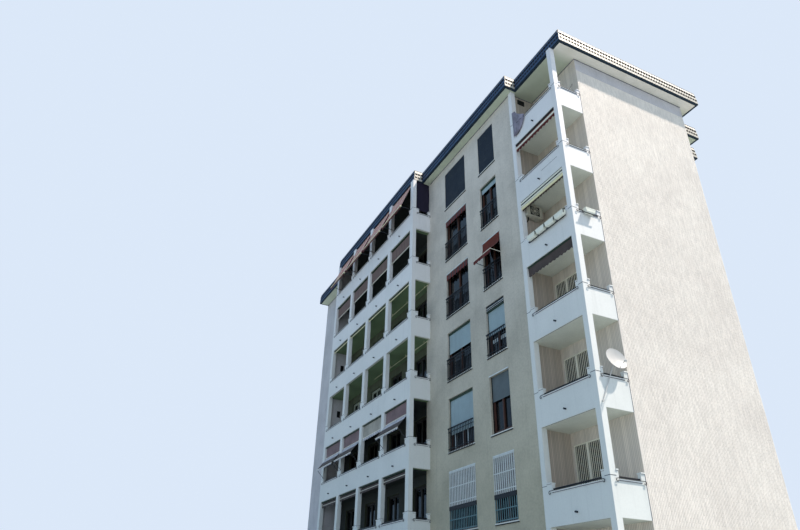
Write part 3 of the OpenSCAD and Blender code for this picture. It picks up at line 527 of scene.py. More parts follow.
# Gable cladding: upright split tiles with chamfered edges, every other column shifted by half a tile
def tile_field(bits, cols, z0, z1, place):
    """Tiles over a field; place maps (along, out, up) to the frame."""
    gap, flank, thick = 0.003, 0.007, 0.007
    lows, highs, columns = [], [], []
    for i in range(cols):
        z = z0 - (i % 2) * TILE_H / 2
        while z < z1 - 0.001:
            lows.append(max(z, z0) + 0.001)
            highs.append(min(z + TILE_H, z1) - 0.001)
            columns.append(i * TILE_W)
            z += TILE_H
    lows, highs, columns = (np.array(v)[:, None] for v in (lows, highs, columns))
    near, far, edge = gap, TILE_W - gap, 0.002
    along = columns + np.array([near, far, far, near, near + flank, far - flank, far - flank, near + flank])
    up = np.concatenate([lows, lows, highs, highs, lows + edge, lows + edge, highs - edge, highs - edge], 1)
    out = np.repeat(np.array([[0, 0, 0, 0, 1, 1, 1, 1]]) * thick, len(lows), 0)
    out = out + (out > 0) * rng.normal(0, 0.0010, (len(lows), 1))
    faces = [(4, 5, 6, 7), (0, 1, 5, 4), (1, 2, 6, 5), (2, 3, 7, 6), (3, 0, 4, 7)]
    faces = [tuple(k + 8 * n for k in face) for n in range(len(lows)) for face in faces]
    bits.add(place(np.stack([along.ravel(), out.ravel(), up.ravel()], 1)), faces)


gable = Bits()
tile_field(gable, GABLE_COLS, 0.0, BEAM_Z,
           lambda v: np.stack([X_GABLE + v[:, 1], GABLE_Y0 + v[:, 0], v[:, 2]], 1))
gable.make("gable_tiles", gable_tile(), "ribbed_cladding")
seams, panels = Bits(), Bits()
for j, level in enumerate(LEVELS):
    top = LEVELS[j + 1] if j < 6 else SOFFIT - 0.045
    seams.box((X_GABLE - 0.12, X_GABLE + 0.004), (Y_DOOR - 0.010, Y_DOOR + 0.008), (level, level + 1.262))
    panels.box((13.597, X_GABLE - 0.002), (Y_DOOR - 0.003, Y_DOOR), (level + 0.255, top - 0.003))
seams.make("gable_seams", JOINT_AND_SHADOW_GREY, "ribbed_cladding")
panels.make("gable_end_cladding", LOOKS["loggia_cladding"], "loggia_cladding")
beam = Bits()
beam.box((X_GABLE, X_GABLE + 0.006), (Y_DOOR, Y_REAR0), (BEAM_Z + 0.004, SOFFIT - 0.045))
beam.make("gable_beam", PLASTER_GREY, "plaster", bevel=0.003)
# Painted shadow: a dark strip along the walls just under the soffit.
gap = Bits()
for x, y, deep in (((X_GABLE, X_GABLE + 0.012), (Y_DOOR, Y_REAR0), 0.045),
                   ((X_LEFT, X_NEAR), (Y_MID - 0.012, Y_MID), 0.035),
                   ((X_ROOM, X_GABLE), (Y_DOOR - 0.012, Y_DOOR), 0.028),
                   ((X_ROOM, X_ROOM + 0.012), (Y_MID, Y_DOOR), 0.028),
                   ((X_FAR, X_END), (Y_BACK - 0.012, Y_BACK), 0.035)):
    gap.box(x, y, (SOFFIT - deep, SOFFIT - 0.001))
gap.make("eaves_painted_shadow", JOINT_AND_SHADOW_GREY, "gutter_metal")


# Skirt of hung barrel tiles
ROOF = ((-13.895, -5.135), (-8.165, -5.135), (-8.165, -5.735), (3.275, -5.735), (3.275, -5.225),
        (11.265, -5.225), (11.265, -4.680), (14.395, -4.680), (14.395, 3.375), (12.765, 3.375),
        (12.765, 5.285), (11.685, 5.285), (11.685, 6.435), (-13.895, 6.435))


def roof_points(d):
    """The roof's outline moved inwards by d."""
    return [(x + (d if x < 0 else -d), y + (d if y < 0 else -d)) for x, y in ROOF]


def tile_course(bits, p0, p1, z0, z1, kick, hang):
    """One course of barrel tiles along an edge, each open at its lower end; on the two upper courses a dark box
    under each open end is painted shadow.
    """
    p0, p1 = np.array(p0, float), np.array(p1, float)
    run = np.linalg.norm(p1 - p0)
    t = (p1 - p0) / run
    n = np.array([t[1], -t[0]])
    count = max(1, round(run / 0.155))
    w = run / count
    arc = []
    for k in range(6):
        a = k / 5
        arc.append((0.003 + a * (w - 0.006), 0.007 * math.sin(math.pi * a) ** 0.7))
    shape, faces = [], []
    for z, out in ((z1, 0.003), (z0 - hang, kick)):
        for u, r in arc:
            shape.append((u, out + r, z))
        for u, r in arc:
            shape.append((u, out + r - 0.010, z))
    for k in range(5):
        faces.append((k, k + 1, 12 + k + 1, 12 + k))
        faces.append((12 + k, 12 + k + 1, 18 + k + 1, 18 + k))
        faces.append((6 + k + 1, 6 + k, 18 + k, 18 + k + 1))
    faces.append((0, 12, 18, 6))
    faces.append((5, 11, 23, 17))
    spots = [(i * w, 0, 0) for i in range(count)]
    verts, faces = array_of(shape, faces, spots)
    xy = p0 + verts[:, :1] * t + verts[:, 1:2] * n
    bits.add(np.column_stack([xy, verts[:, 2]]), faces)
    # Dark boxes under the tiles' lower ends: painted shadow of the laps.
    if kick > 0.02:
        shadow_box = np.array([0.21 * w, 0.0, z0 - hang - 0.088]) + CUBE * np.array([0.58 * w, kick + 0.012, 0.088])
        verts, faces = array_of(shadow_box, CUBE_FACES, spots)
        xy = p0 + verts[:, :1] * t + verts[:, 1:2] * n
        lap_shadows.add(np.column_stack([xy, verts[:, 2]]), faces)


# How far the lower ends of each course stand out, and how far they hang over the course below
KICKS, HANGS = (0.012, 0.032, 0.050), (0.022, 0.040, 0.052)
dark_tiles, pale_tiles, lap_shadows = Bits(), Bits(), Bits()
for c in range(3):
    edge = roof_points(0.022 * c)
    for i in range(14):
        p0, p1 = edge[i], edge[(i + 1) % 14]
        bits = dark_tiles if i % 2 == 0 else pale_tiles
        tile_course(bits, p0, p1, LAPS[c], LAPS[c + 1], KICKS[c], HANGS[c])
dark_tiles.make("skirt_tiles_long", SKIRT_NAVY, "skirt_tile", smooth=True)
pale_tiles.make("skirt_tiles_side", SKIRT_CREAM, "skirt_tile", smooth=True)
lap_shadows.make("skirt_lap_painted_shadows", LAP_SHADOW, "skirt_tile")

# Roof felt inside the skirt, in lapped sheets
felt = Bits()
FELT_Z = SOFFIT + 0.202
ring = [(x, y, FELT_Z) for x, y in roof_points(0.25)]
new_object("roof_felt", ring, [tuple(range(len(ring)))], ROOF_FELT, "concrete")
for k in range(27):
    x = X_FAR + 1.0 + k
    if x < 11.2:
        y0 = -4.7 if x < -8.0 else (-5.4 if x < 3.0 else -4.85)
        felt.box((x - 0.05, x + 0.05), (y0, 5.9), (FELT_Z, SOFFIT + 0.208))
felt.make("roof_felt_laps", ROOF_FELT, "concrete")

# Windows
SLAT = 0.045
H = HEAD - SILL
SHARES = {"a": (0, 0, .70, .45, 0, 0, 1), "b": (0, 0, 0, .60, 0, .15, 1)}
WINDOWS = [(j, key, w) for j in range(7) for key, w in (("a", WIN_A), ("b", WIN_B))]


def curtain(bits, x, y, z0, z1):
    """A slatted roller curtain that hangs from z1 to z0 with its face at y, and a bottom rail."""
    count = max(1, int((z1 - z0 - 0.05) / SLAT))
    profile = [(0.000, 0.000), (-0.006, 0.006), (-0.009, 0.0205), (-0.006, 0.036), (0.000, 0.042),
               (0.008, 0.042), (0.008, 0.000)]
    n = len(profile)
    shape = [(x[0], y + a, b) for a, b in profile] + [(x[1], y + a, b) for a, b in profile]
    faces = [(k, (k + 1) % n, n + (k + 1) % n, n + k) for k in range(n)]
    faces += [tuple(range(n - 1, -1, -1)), tuple(range(n, 2 * n))]
    verts, faces = array_of(shape, faces, [(0, 0, z1 - (k + 1) * SLAT) for k in range(count)])
    bits.add(verts, faces)
    bits.box(x, (y - 0.008, y + 0.010), (z1 - count * SLAT - 0.055, z1 - count * SLAT - 0.004))


dark, pale = Bits(), Bits()
for j, key, w in WINDOWS:
    share = SHARES[key][j]
    if share:
        z1 = LEVELS[j] + HEAD - 0.006
        bits, y = (dark, -4.738) if j == 6 else (pale, -4.652)
        curtain(bits, (w[0] + 0.004, w[1] - 0.004), y, z1 - share * (H - 0.01), z1)
dark.make("shutters_dark", SHUTTER_DARK, "shutter_slats", ("roller_shutters",))
pale.make("shutters_pale", SHUTTER_PALE, "shutter_slats", ("roller_shutters",))


def flat_cloth(name, x, y, z, look, slot, node=None, wave=0.001):
    """A plain hung cloth with its head at z[1] and its hem at z[0]."""
    width, tall = x[1] - x[0], z[1] - z[0]
    rows = [[(x[0] + u * width, y + wave * math.sin(9 * u * width + 3 * a), z[1] - a * tall)
             for u in np.linspace(0, 1, 18)] for a in np.linspace(0, 1, 14)]
    obj = grid(name, rows, look, slot)
    if node:
        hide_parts(node)


# Roller screen and lace in the narrow windows, curtains in a wide one
INSIDE_Y = -4.5685
head = LEVELS[2] + HEAD
flat_cloth("window_screen", (WIN_B[0] + 0.012, WIN_B[1] - 0.012), -4.650, (head - 1.0, head - 0.012),
           SCREEN_GREY, "shutter_slats", "roller_shutters", 0.004)
head = LEVELS[3] + HEAD
flat_cloth("window_lace", (WIN_B[0] + 0.11, WIN_B[1] - 0.11), INSIDE_Y, (head - 1.66, head - 1.50), LACE,
           "plain_cloth")
for k, x in enumerate((5.12, 5.78, 6.10, 6.62)):
    flat_cloth(f"window_curtain_{k}", (x, x + 0.12), INSIDE_Y,
               (LEVELS[2] + SILL + 0.13, LEVELS[2] + HEAD - 0.13), LACE, "plain_cloth")

# Head boxes, guides, lintel lines and a dark strip under each sill, painted as the sill's shadow
green, black, white, sill_shadow = Bits(), Bits(), Bits(), Bits()
for j, key, w in WINDOWS:
    head, sill = LEVELS[j] + HEAD, LEVELS[j] + SILL
    inner, wide = (w[0] + 0.006, w[1] - 0.006), (w[0] - 0.01, w[1] + 0.01)
    if (j, key) in ((2, "a"), (3, "a"), (5, "b")):
        green.box(inner, (-4.700, -4.668), (head - 0.105, head - 0.006))
    if (j, key) == (3, "b"):
        black.box(inner, (-4.730, -4.668), (head - 0.25, head - 0.006))
        white.box(inner, (-4.738, -4.730), (head - 0.13, head - 0.11))
        white.box(inner, (-4.738, -4.730), (head - 0.205, head - 0.19))
        green.box(inner, (-4.735, -4.668), (head - 0.29, head - 0.252))
    if (j, key) in ((2, "b"), (4, "a"), (5, "a"), (4, "b"), (1, "a"), (1, "b")):
        white.box(wide, (Y_MID - 0.022, Y_MID), (head - 0.012, head + 0.035))
    for x, inward in ((w[0], 1), (w[1], -1)):
        lo_x, hi_x = sorted((x + inward * 0.004, x + inward * 0.030))
        black.box((lo_x, hi_x), (-4.672, -4.636), (sill + 0.004, head - 0.006))
    sill_shadow.box((w[0] - 0.052, w[1] + 0.052), (Y_MID - 0.036, Y_MID), (sill - 0.068, sill - 0.041))
for x0, x1 in REAR_WINS:
    for level in LEVELS:
        z = level + REAR_SILL
        sill_shadow.box((x0 - 0.052, x1 + 0.052), (Y_REAR, Y_REAR + 0.036), (z - 0.062, z - 0.041))
        head = level + HEAD
        white.box((x0 - 0.01, x1 + 0.01), (Y_REAR, Y_REAR + 0.018), (head - 0.010, head + 0.035))
green.make("shutter_slots_green", GREEN_PAINT, "shutter_slats", bevel=0.004)
black.make("shutter_guides", BLACK_PAINT_AND_SHADE, "shutter_slats")
white.make("lintel_lines", GRILLE_WHITE, "white_frame", bevel=0.003)
sill_shadow.make("sill_painted_shadows", BLACK_PAINT_AND_SHADE, "sill_stone")


# Sashes
def surround(bits, x, y, z, side, foot):
    """Four bars that frame x by z."""
    bits.box((x[0], x[0] + side), y, z)
    bits.box((x[1] - side, x[1]), y, z)
    bits.box((x[0] + side, x[1] - side), y, (z[0], z[0] + foot))
    bits.box((x[0] + side, x[1] - side), y, (z[1] - side, z[1]))


def leaves(bits, x, y, z, stile=0.05, foot=0.09):
    """Two sash leaves that fill x, each with stiles, a head and a foot rail."""
    mid = (x[0] + x[1]) / 2
    surround(bits, (x[0], mid - 0.006), y, z, stile, foot)
    surround(bits, (mid + 0.006, x[1]), y, z, stile, foot)


sash, rear_sash = Bits(), Bits()
for j, key, w in WINDOWS:
    z = (LEVELS[j] + SILL + 0.050, LEVELS[j] + HEAD - 0.055)
    leaves(sash, (w[0] + 0.055, w[1] - 0.055), (-4.612, -4.572), z, 0.042)
for x0, x1 in REAR_WINS:
    for level in LEVELS:
        z = (level + REAR_SILL + 0.055, level + HEAD - 0.055)
        leaves(rear_sash, (x0 + 0.055, x1 - 0.055), (5.612, 5.652), z, 0.045, 0.06)
sash.make("window_sashes", LOOKS["brown_frame"], "brown_frame", bevel=0.004)
rear_sash.make("rear_sashes", LOOKS["white_frame"], "white_frame", bevel=0.004)

# Loggia doors: frames, leaves and, on four of the corner loggias, a barred guard
pale_doors, dark_doors, shaded_doors = Bits(), Bits(), Bits()


def door(bits, x, y, z):
    x, z = (x[0] + 0.005, x[1] - 0.005), (z[0] + 0.005, z[1] - 0.005)
    surround(bits, x, (y, y + 0.07), z, 0.06, 0.06)
    x, z = (x[0] + 0.055, x[1] - 0.055), (z[0] + 0.055, z[1] - 0.055)
    leaves(bits, x, (y + 0.022, y + 0.060), z, 0.055, 0.14)


guards = Bits()
for j, level in enumerate(LEVELS):
    z = (level + 0.27, level + 2.63)
    door(dark_doors if j in (1, 2, 3, 4) else pale_doors, DOOR, Y_DOOR + 0.08, z)
    for i, (a, b) in enumerate(BAYS):
        mid = (a + b) / 2
        # Two bays on two storeys get white doors painted grey as shade.
        door(shaded_doors if i > 1 and j in (3, 4) else dark_doors, (mid - 0.65, mid + 0.65), Y_BACK + 0.08, z)
    if j in (1, 2, 3, 4):
        mid = (DOOR[0] + DOOR[1]) / 2
        for a, b in ((DOOR[0] + 0.004, mid - 0.003), (mid + 0.003, DOOR[1] - 0.004)):
            for x in (a, b - 0.045):
                guards.box((x, x + 0.045), (Y_DOOR + 0.004, Y_DOOR + 0.044), (level + 0.28, level + 2.64))
            for h, tall in ((0.28, 0.045), (0.98, 0.022), (2.595, 0.045)):
                guards.box((a, b), (Y_DOOR + 0.008, Y_DOOR + 0.040), (level + h, level + h + tall))
            count = 7 if j < 4 else 4
            for k in range(1, count):
                x = a + 0.0225 + k * (b - a - 0.045) / count
                guards.box((x - 0.009, x + 0.009), (Y_DOOR + 0.014, Y_DOOR + 0.032),
                           (level + 0.30, level + 2.60))
pale_doors.make("loggia_doors_pale", LOOKS["white_frame"], "white_frame", ("loggia_frames",), bevel=0.004)
shaded_doors.make("loggia_doors_painted_shade", DOOR_WHITE_SHADED, "white_frame", ("loggia_frames",), bevel=0.004)
dark_doors.make("loggia_doors_dark", DARK_DOOR, "brown_frame", ("loggia_frames",), bevel=0.004)
guards.make("door_guards", GUARD_CREAM, "white_frame")

# Railings in front of the windows
rails, whites, teals = Bits(), Bits(), Bits()
FRONT = (-4.817, -4.797)
for j, key, w in WINDOWS:
    base = LEVELS[j] + SILL
    if j == 6 or (j, key) == (2, "b"):
        continue
    edge = (w[0] - 0.004, w[1] + 0.004)
    count = int((w[1] - w[0]) / 0.12)
    step = (w[1] - w[0]) / count
    if j <= 1:
        rails.box(edge, (-4.800, -4.745), (base + 0.78, base + 0.93))
        for k in range(count + 1):
            x = w[0] + 0.01 + k * (w[1] - w[0] - 0.02) / count
            whites.tube([(x, -4.772, base + 0.94), (x, -4.772, base + H - 0.01)], 0.015, 6)
            if k < count:
                between = x + step / 2
                whites.tube([(between, -4.762, base + 0.94), (between, -4.762, base + H - 0.01)], 0.011, 6)
            teals.tube([(x, -4.772, base + 0.02), (x, -4.772, base + 0.79)], 0.016, 6)
        for z in (0.05, 0.42):
            teals.box(edge, (-4.785, -4.760), (base + z, base + z + 0.03))
        for z in (1.05, 1.62, H - 0.06):
            whites.box(edge, (-4.785, -4.760), (base + z, base + z + 0.03))
        continue
    rails.box(edge, (-4.822, -4.778), (base + 0.925, base + 0.97))
    rails.box(edge, FRONT, (base + 0.78, base + 0.805))
    rails.box(edge, FRONT, (base + 0.09, base + 0.115))
    for x, inward in ((w[0], 1), (w[1], -1)):
        for z in (0.79, 0.10):
            lo_x, hi_x = sorted((x + inward * 0.004, x + inward * 0.024))
            rails.box((lo_x, hi_x), (-4.810, -4.640), (base + z, base + z + 0.02))
    for k in range(count):
        x = w[0] + (k + 0.5) * step
        rails.box((x - 0.010, x + 0.010), FRONT, (base - 0.050, base + 0.93))
rails.make("window_railings", LOOKS["rail_paint"], "rail_paint", ("window_guards",))
whites.make("window_grilles", GRILLE_WHITE, "rail_paint", smooth=True)
teals.make("window_lower_bars", GRILLE_TEAL, "rail_paint", smooth=True)

# Parapets: handrails with curled ends, dark lines painted as shadow under ledges, plates and parapets, ceiling
# strips and column joints
hand, curls, drip_shadows, strips, ticks, plates = Bits(), Bits(), Bits(), Bits(), Bits(), Bits()
RAIL_Z = 1.085


def curl(bits, centre, axis, sense):
    """A curled end of flat iron in the plane along axis."""
    points = []
    for a in np.linspace(0, 1.6 * math.pi, 12):
        r = 0.060 - 0.008 * a
        along, lift = sense * -r * math.sin(a), r * math.cos(a)
        points.append((centre[0] + along, centre[1], centre[2] + lift) if axis == "x"
                      else (centre[0], centre[1] + along, centre[2] + lift))
    bits.tube(points, 0.011, 6)


def notch(level, axis, run, face, out):
    """Dressing of one notch: run along axis, face the parapet's outer plane, out its outward sense."""
    def place(bits, along, across, z):
        across = sorted(face + out * v for v in across)
        bits.box(along if axis == "x" else across, across if axis == "x" else along, z)
    inside = face - out * 0.06
    z = level + RAIL_Z
    ends = [(run[0] - 0.01, inside, z), (run[1] + 0.01, inside, z)]
    if axis == "y":
        ends = [(b, a, c) for a, b, c in ends]
    hand.tube(ends, 0.025, 10)
    count = max(1, round((run[1] - run[0]) / 0.7))
    for k in range(1, count):
        at = run[0] + (run[1] - run[0]) * k / count
        place(hand, (at - 0.008, at + 0.008), (-0.068, -0.052), (level + 1.008, z))
    # A dark line under the ledge: painted shadow of the ledge.
    place(drip_shadows, (run[0] + 0.002, run[1] - 0.002), (0.0, 0.024), (level + 0.966, level + 0.9795))
    if face == Y_NEAR and level == LEVELS[4]:
        return
    place(hand, (run[0] - 0.09, run[1] + 0.09), (0.034, 0.046), (level + 1.020, level + 1.036))
    for at, sense in ((run[0] - 0.09, 1), (run[1] + 0.09, -1)):
        centre = (at, face + out * 0.040, level + 0.968)
        curl(curls, centre if axis == "x" else (centre[1], centre[0], centre[2]), axis, sense)


# A dark line under a cover plate: painted shadow of the plate.
def shadow_under_plate(level, x, y):
    drip_shadows.box(x, y, (level + 1.235, level + 1.2445))


for j, level in enumerate(LEVELS):
    notch(level, "x", NEAR_X, Y_NEAR, -1)
    notch(level, "y", NEAR_SIDE_Y, X_GABLE, 1)
    notch(level, "y", LEFT_SIDE_Y, X_LEFT, 1)
    for a, b in BAYS:
        notch(level, "x", (a + 0.12, b - 0.12), Y_LEFT, -1)
        shadow_under_plate(level, (a, a + 0.12), (Y_LEFT - 0.004, Y_LEFT))
        shadow_under_plate(level, (b - 0.12, b), (Y_LEFT - 0.004, Y_LEFT))
        strips.box((a, b), (Y_LEFT + 0.016, Y_LEFT + 0.12), (level - 0.003, level))
        # A dark line under the parapet: a drip groove, painted dark as its shadow.
        drip_shadows.box((a, b), (Y_LEFT + 0.028, Y_LEFT + 0.046), (level - 0.006, level - 0.003))
    for x in ((11.095, NEAR_X[0]), (NEAR_X[1], 13.675)):
        shadow_under_plate(level, x, (Y_NEAR - 0.004, Y_NEAR))
    for y in ((-4.585, NEAR_SIDE_Y[0]), (NEAR_SIDE_Y[1], Y_DOOR)):
        shadow_under_plate(level, (X_GABLE, X_GABLE + 0.004), y)
    for y in ((-5.595, LEFT_SIDE_Y[0]), (LEFT_SIDE_Y[1], Y_MID)):
        shadow_under_plate(level, (X_LEFT, X_LEFT + 0.004), y)
    if j:
        strips.box((11.095, 13.675), (Y_NEAR + 0.016, Y_NEAR + 0.12), (level - 0.003, level))
        # A dark line under the parapet: a drip groove, painted dark as its shadow.
        drip_shadows.box((11.095, 13.675), (Y_NEAR + 0.028, Y_NEAR + 0.046), (level - 0.006, level - 0.003))
        strips.box((X_GABLE - 0.12, X_GABLE - 0.016), (-4.585, Y_DOOR), (level - 0.003, level))
        strips.box((X_LEFT - 0.12, X_LEFT - 0.016), (-5.595, Y_MID), (level - 0.003, level))
    z = level + 1.10
    ticks.box((13.672, X_GABLE + 0.004), (Y_NEAR - 0.004, Y_NEAR + 0.223), (z - 0.008, z + 0.008))
    ticks.box((X_NEAR - 0.004, 11.098), (Y_NEAR - 0.004, Y_NEAR + 0.1), (z + 0.092, z + 0.106))
    plates.box((13.630, 13.675), (Y_NEAR + 0.03, Y_NEAR + 0.045), (z - 0.03, z + 0.03))
    plates.box((X_GABLE - 0.045, X_GABLE - 0.03), (-4.585, -4.540), (z - 0.03, z + 0.03))
    for i in range(5):
        x0 = X_LEFT - BAY * i - COL_W
        ticks.box((x0 - 0.003, x0 + COL_W + 0.004), (Y_LEFT - 0.004, -5.592), (z + 0.19, z + 0.204))
hand.make("handrail_tubes", LOOKS["rail_paint"], "rail_paint", ("handrails",), smooth=True)
curls.make("rail_curls", LOOKS["rail_paint"], "rail_paint", smooth=True)
drip_shadows.make("parapet_painted_shadow_lines", JOINT_AND_SHADOW_GREY, "rail_paint")
strips.make("parapet_soffits", LOOKS["ceiling_paint"], "ceiling_paint")
ticks.make("column_joints", LOOKS["spout_metal"], "white_paint")
plates.make("column_brackets", GRILLE_WHITE, "white_frame", bevel=0.003)

# Awnings, valances and hanging cloths
bars, yellow, arms, cases, gap_shades, lines = Bits(), Bits(), Bits(), Bits(), Bits(), Bits()
# Corner loggias: an awning case under the parapet, then a bar or a roll and a scalloped fringe
NEAR_AWNING_X, CASE_X = (11.110, 13.660), (11.100, 13.670)


def near_cloth(name, path, look, rests="near_parapets", **shape):
    """A cloth of a corner loggia; path gives drops below the line of the storey that ends its name."""
    line = LEVELS[int(name[-1])]
    cloth(name, [(y, line - drop) for y, drop in path], NEAR_AWNING_X, look, "near_awnings", rests, **shape)


def left_cloth(name, x, line, path, look, node="drop_awnings", rests="left_parapets", **shape):
    """A cloth of a long loggia; path gives drops below line."""
    cloth(name, [(y, line - drop) for y, drop in path], x, look, node, rests, **shape)


z = LEVELS[6]
cases.box(CASE_X, (-4.785, -4.690), (z - 0.030, z - 0.002))
# A black strip between case and bar: painted shade in the gap.
gap_shades.box(CASE_X, (-4.790, -4.690), (z - 0.095, z - 0.030))
near_cloth("near_valance_6", [(-4.765, 0.09), (-4.760, 0.21)], CLOTH_BROWN, step=0.03, ripple=0.005, sag=0.003)
bars.box(CASE_X, (-4.795, -4.745), (z - 0.285, z - 0.205))
near_cloth("near_fringe_6", [(-4.770, 0.28), (-4.772, 0.47)], CLOTH_DARKRED, "near_valance_6", scallop=0.09,
           pitch=0.20, step=0.02, ripple=0.004, sag=0.003)
z = LEVELS[5]
cases.box(CASE_X, (-4.790, -4.690), (z - 0.040, z - 0.002))
# The black strip between the two bars is painted shade in the gap.
for low, high, y, bits in ((0.115, 0.040, -4.800, bars), (0.190, 0.115, -4.788, gap_shades),
                           (0.260, 0.190, -4.800, bars)):
    bits.box(CASE_X, (y, -4.700), (z - low, z - high))
yellow.rod((11.090, 13.680), -4.745, z - 0.320, 0.056, 12)
near_cloth("near_valance_5", [(-4.755, 0.37), (-4.760, 0.485)], CLOTH_UMBER, scallop=0.05, pitch=0.16,
           step=0.02, ripple=0.004, sag=0.003)
z = LEVELS[4]
cases.box(CASE_X, (-4.760, -4.690), (z - 0.060, z - 0.002))
near_cloth("near_valance_4", [(-4.742, 0.06), (-4.728, 0.44)], CLOTH_BROWNGREY, scallop=0.05, pitch=0.20,
           step=0.03, ripple=0.006, sag=0.004)

# Long loggias: striped awnings of the top storey
for i, (a, b) in enumerate(BAYS):
    x = (a + 0.035, b - 0.035)
    path = [(-5.675, 22.470), (-5.79, 22.17), (-6.02, 21.58), (-6.20, 21.12), (-6.335, 20.76)]
    cloth(f"top_awning_{i}", path, x, CLOTH_STRIPED, "top_awnings", "left_columns", "striped_cloth",
          "stretched", sag=0.018, ripple=0.006, phase=0.3 * i)
    yellow.rod((x[0] - 0.01, x[1] + 0.01), -6.352, 20.745, 0.044, 10)
    cloth(f"top_valance_{i}", [(-6.385, 20.715), (-6.392, 20.52)], x, CLOTH_DARKRED, "top_awnings",
          "top_awnings", scallop=0.06, pitch=0.20, step=0.03, sag=0.004)
    for xs in (x[0] + 0.05, x[1] - 0.05):
        arms.tube([(xs, -5.65, 20.72), (xs, -6.00, 20.76), (xs, -6.325, 20.745)], 0.016, 6)

# Drop awnings, awnings with a slanted lower part, and rolled ones
for i, (a, b) in enumerate(BAYS):
    x = (a + 0.03, b - 0.03)
    z = LEVELS[6]
    left_cloth(f"drop_awning_6_{i}", x, z, [(-5.688, 0.10), (-5.690, 0.83)], CLOTH_PINKISH, sag=0.004,
               ripple=0.007, phase=0.4 * i)
    bars.rod(x, -5.700, z - 0.842, 0.022, 8)
    yellow.rod(x, -5.715, LEVELS[5] - 0.135, 0.026, 10)
    z = LEVELS[3]
    if i == 1:
        left_cloth("drop_awning_3", x, z, [(-5.688, 0.06), (-5.690, 0.66)], CLOTH_BEIGE, sag=0.004, ripple=0.007)
        left_cloth("drop_fringe_3", x, z, [(-5.700, 0.66), (-5.704, 0.82)], CLOTH_PALE, rests="drop_awning_3",
                   scallop=0.06, pitch=0.22, step=0.03, sag=0.002)
        bars.rod(x, -5.698, z - 0.655, 0.014, 8)
    else:
        node, bent = "slanted_awnings", {"held": "stretched", "sag": 0.006, "ripple": 0.005, "phase": 0.5 * i}
        left_cloth(f"slanted_awning_head_{i}", x, z, [(-5.690, 0.05), (-5.692, 0.63)], CLOTH_MAUVE, node,
                   sag=0.003, ripple=0.005, phase=0.4 * i)
        left_cloth(f"slanted_awning_{i}", x, z, [(-5.692, 0.64), (-5.80, 0.785), (-5.91, 0.93)], CLOTH_PALE,
                   node, **bent)
        left_cloth(f"slanted_breadth_{i}", x, z, [(-5.91, 0.93), (-6.06, 1.13), (-6.205, 1.33)],
                   CLOTH_BROWNGREY, node, node, **bent)
        left_cloth(f"slanted_fringe_{i}", x, z, [(-6.214, 1.335), (-6.218, 1.425)], CLOTH_PALE, node, node,
                   scallop=0.05, pitch=0.20, step=0.02, sag=0.002)
        bars.rod(x, -5.704, z - 0.635, 0.014, 8)
        bars.rod((x[0] - 0.01, x[1] + 0.01), -6.205, z - 1.335, 0.018, 8)
        for xs in (x[0] + 0.02, x[1] - 0.02):
            arms.tube([(xs, -5.70, z - 1.85), (xs, -6.19, z - 1.345)], 0.012, 6)
    z = LEVELS[2]
    left_cloth(f"drop_awning_2_{i}", x, z, [(-5.688, 0.09), (-5.690, 0.19)], CLOTH_BROWNGREY, sag=0.002,
               ripple=0.004, step=0.03)
    bars.rod(x, -5.700, z - 0.205, 0.014, 8)
    left_cloth(f"drop_fringe_2_{i}", x, z, [(-5.702, 0.215), (-5.706, 0.335)], CLOTH_BROWNGREY,
               rests="drop_awnings", scallop=0.05, pitch=0.20, step=0.02, sag=0.002)
    for j in (2, 3, 5, 6):
        cases.box((a + 0.012, b - 0.012), (-5.735, -5.650), (LEVELS[j] - 0.055, LEVELS[j] - 0.004))

# Painted shade: dark sheets on the ceilings and back walls behind the awnings of the long loggias
shade = Bits()
for z in (SOFFIT, LEVELS[6], LEVELS[3], LEVELS[2]):
    shade.box((-7.93, 2.98), (-5.59, -4.462), (z - 0.004, z - 0.001))
y = (Y_BACK - 0.004, Y_BACK - 0.001)
for j in (1, 2, 5, 6):
    top = (SOFFIT if j == 6 else LEVELS[j + 1]) - 0.004
    for i, (a, b) in enumerate(BAYS):
        door_x = ((a + b) / 2 - 0.655, (a + b) / 2 + 0.655)
        right = 2.98 if i == 0 else BAYS[i - 1][0] - COL_W / 2
        left = -7.93 if i == 3 else a - COL_W / 2
        shade.box((left, door_x[0]), y, (LEVELS[j] + 0.26, top))
        shade.box((door_x[1], right), y, (LEVELS[j] + 0.26, top))
        shade.box(door_x, y, (LEVELS[j] + 2.64, top))
shade.make("painted_shade_sheets", PAINTED_SHADE_DARK, "ceiling_paint")

# Lines under the ceilings of two long loggias
for j in (4, 5):
    z = LEVELS[j] - 0.13
    lines.tube([(-1.0 - 2.0 * (j == 4), -4.87, z), (3.28, -4.87, z)], 0.011, 6)
    for x in (-0.9, 0.9, 2.9):
        lines.tube([(x, -4.87, z), (x, -4.87, LEVELS[j] - 0.001)], 0.008, 6)
lines.make("ceiling_lines", BAR_YELLOW, "white_frame", smooth=True)
cases.make("awning_cases", GREEN_PAINT, "awning_cloth", bevel=0.005)
gap_shades.make("awning_painted_gap_shades", BLACK_PAINT_AND_SHADE, "awning_cloth", bevel=0.003)

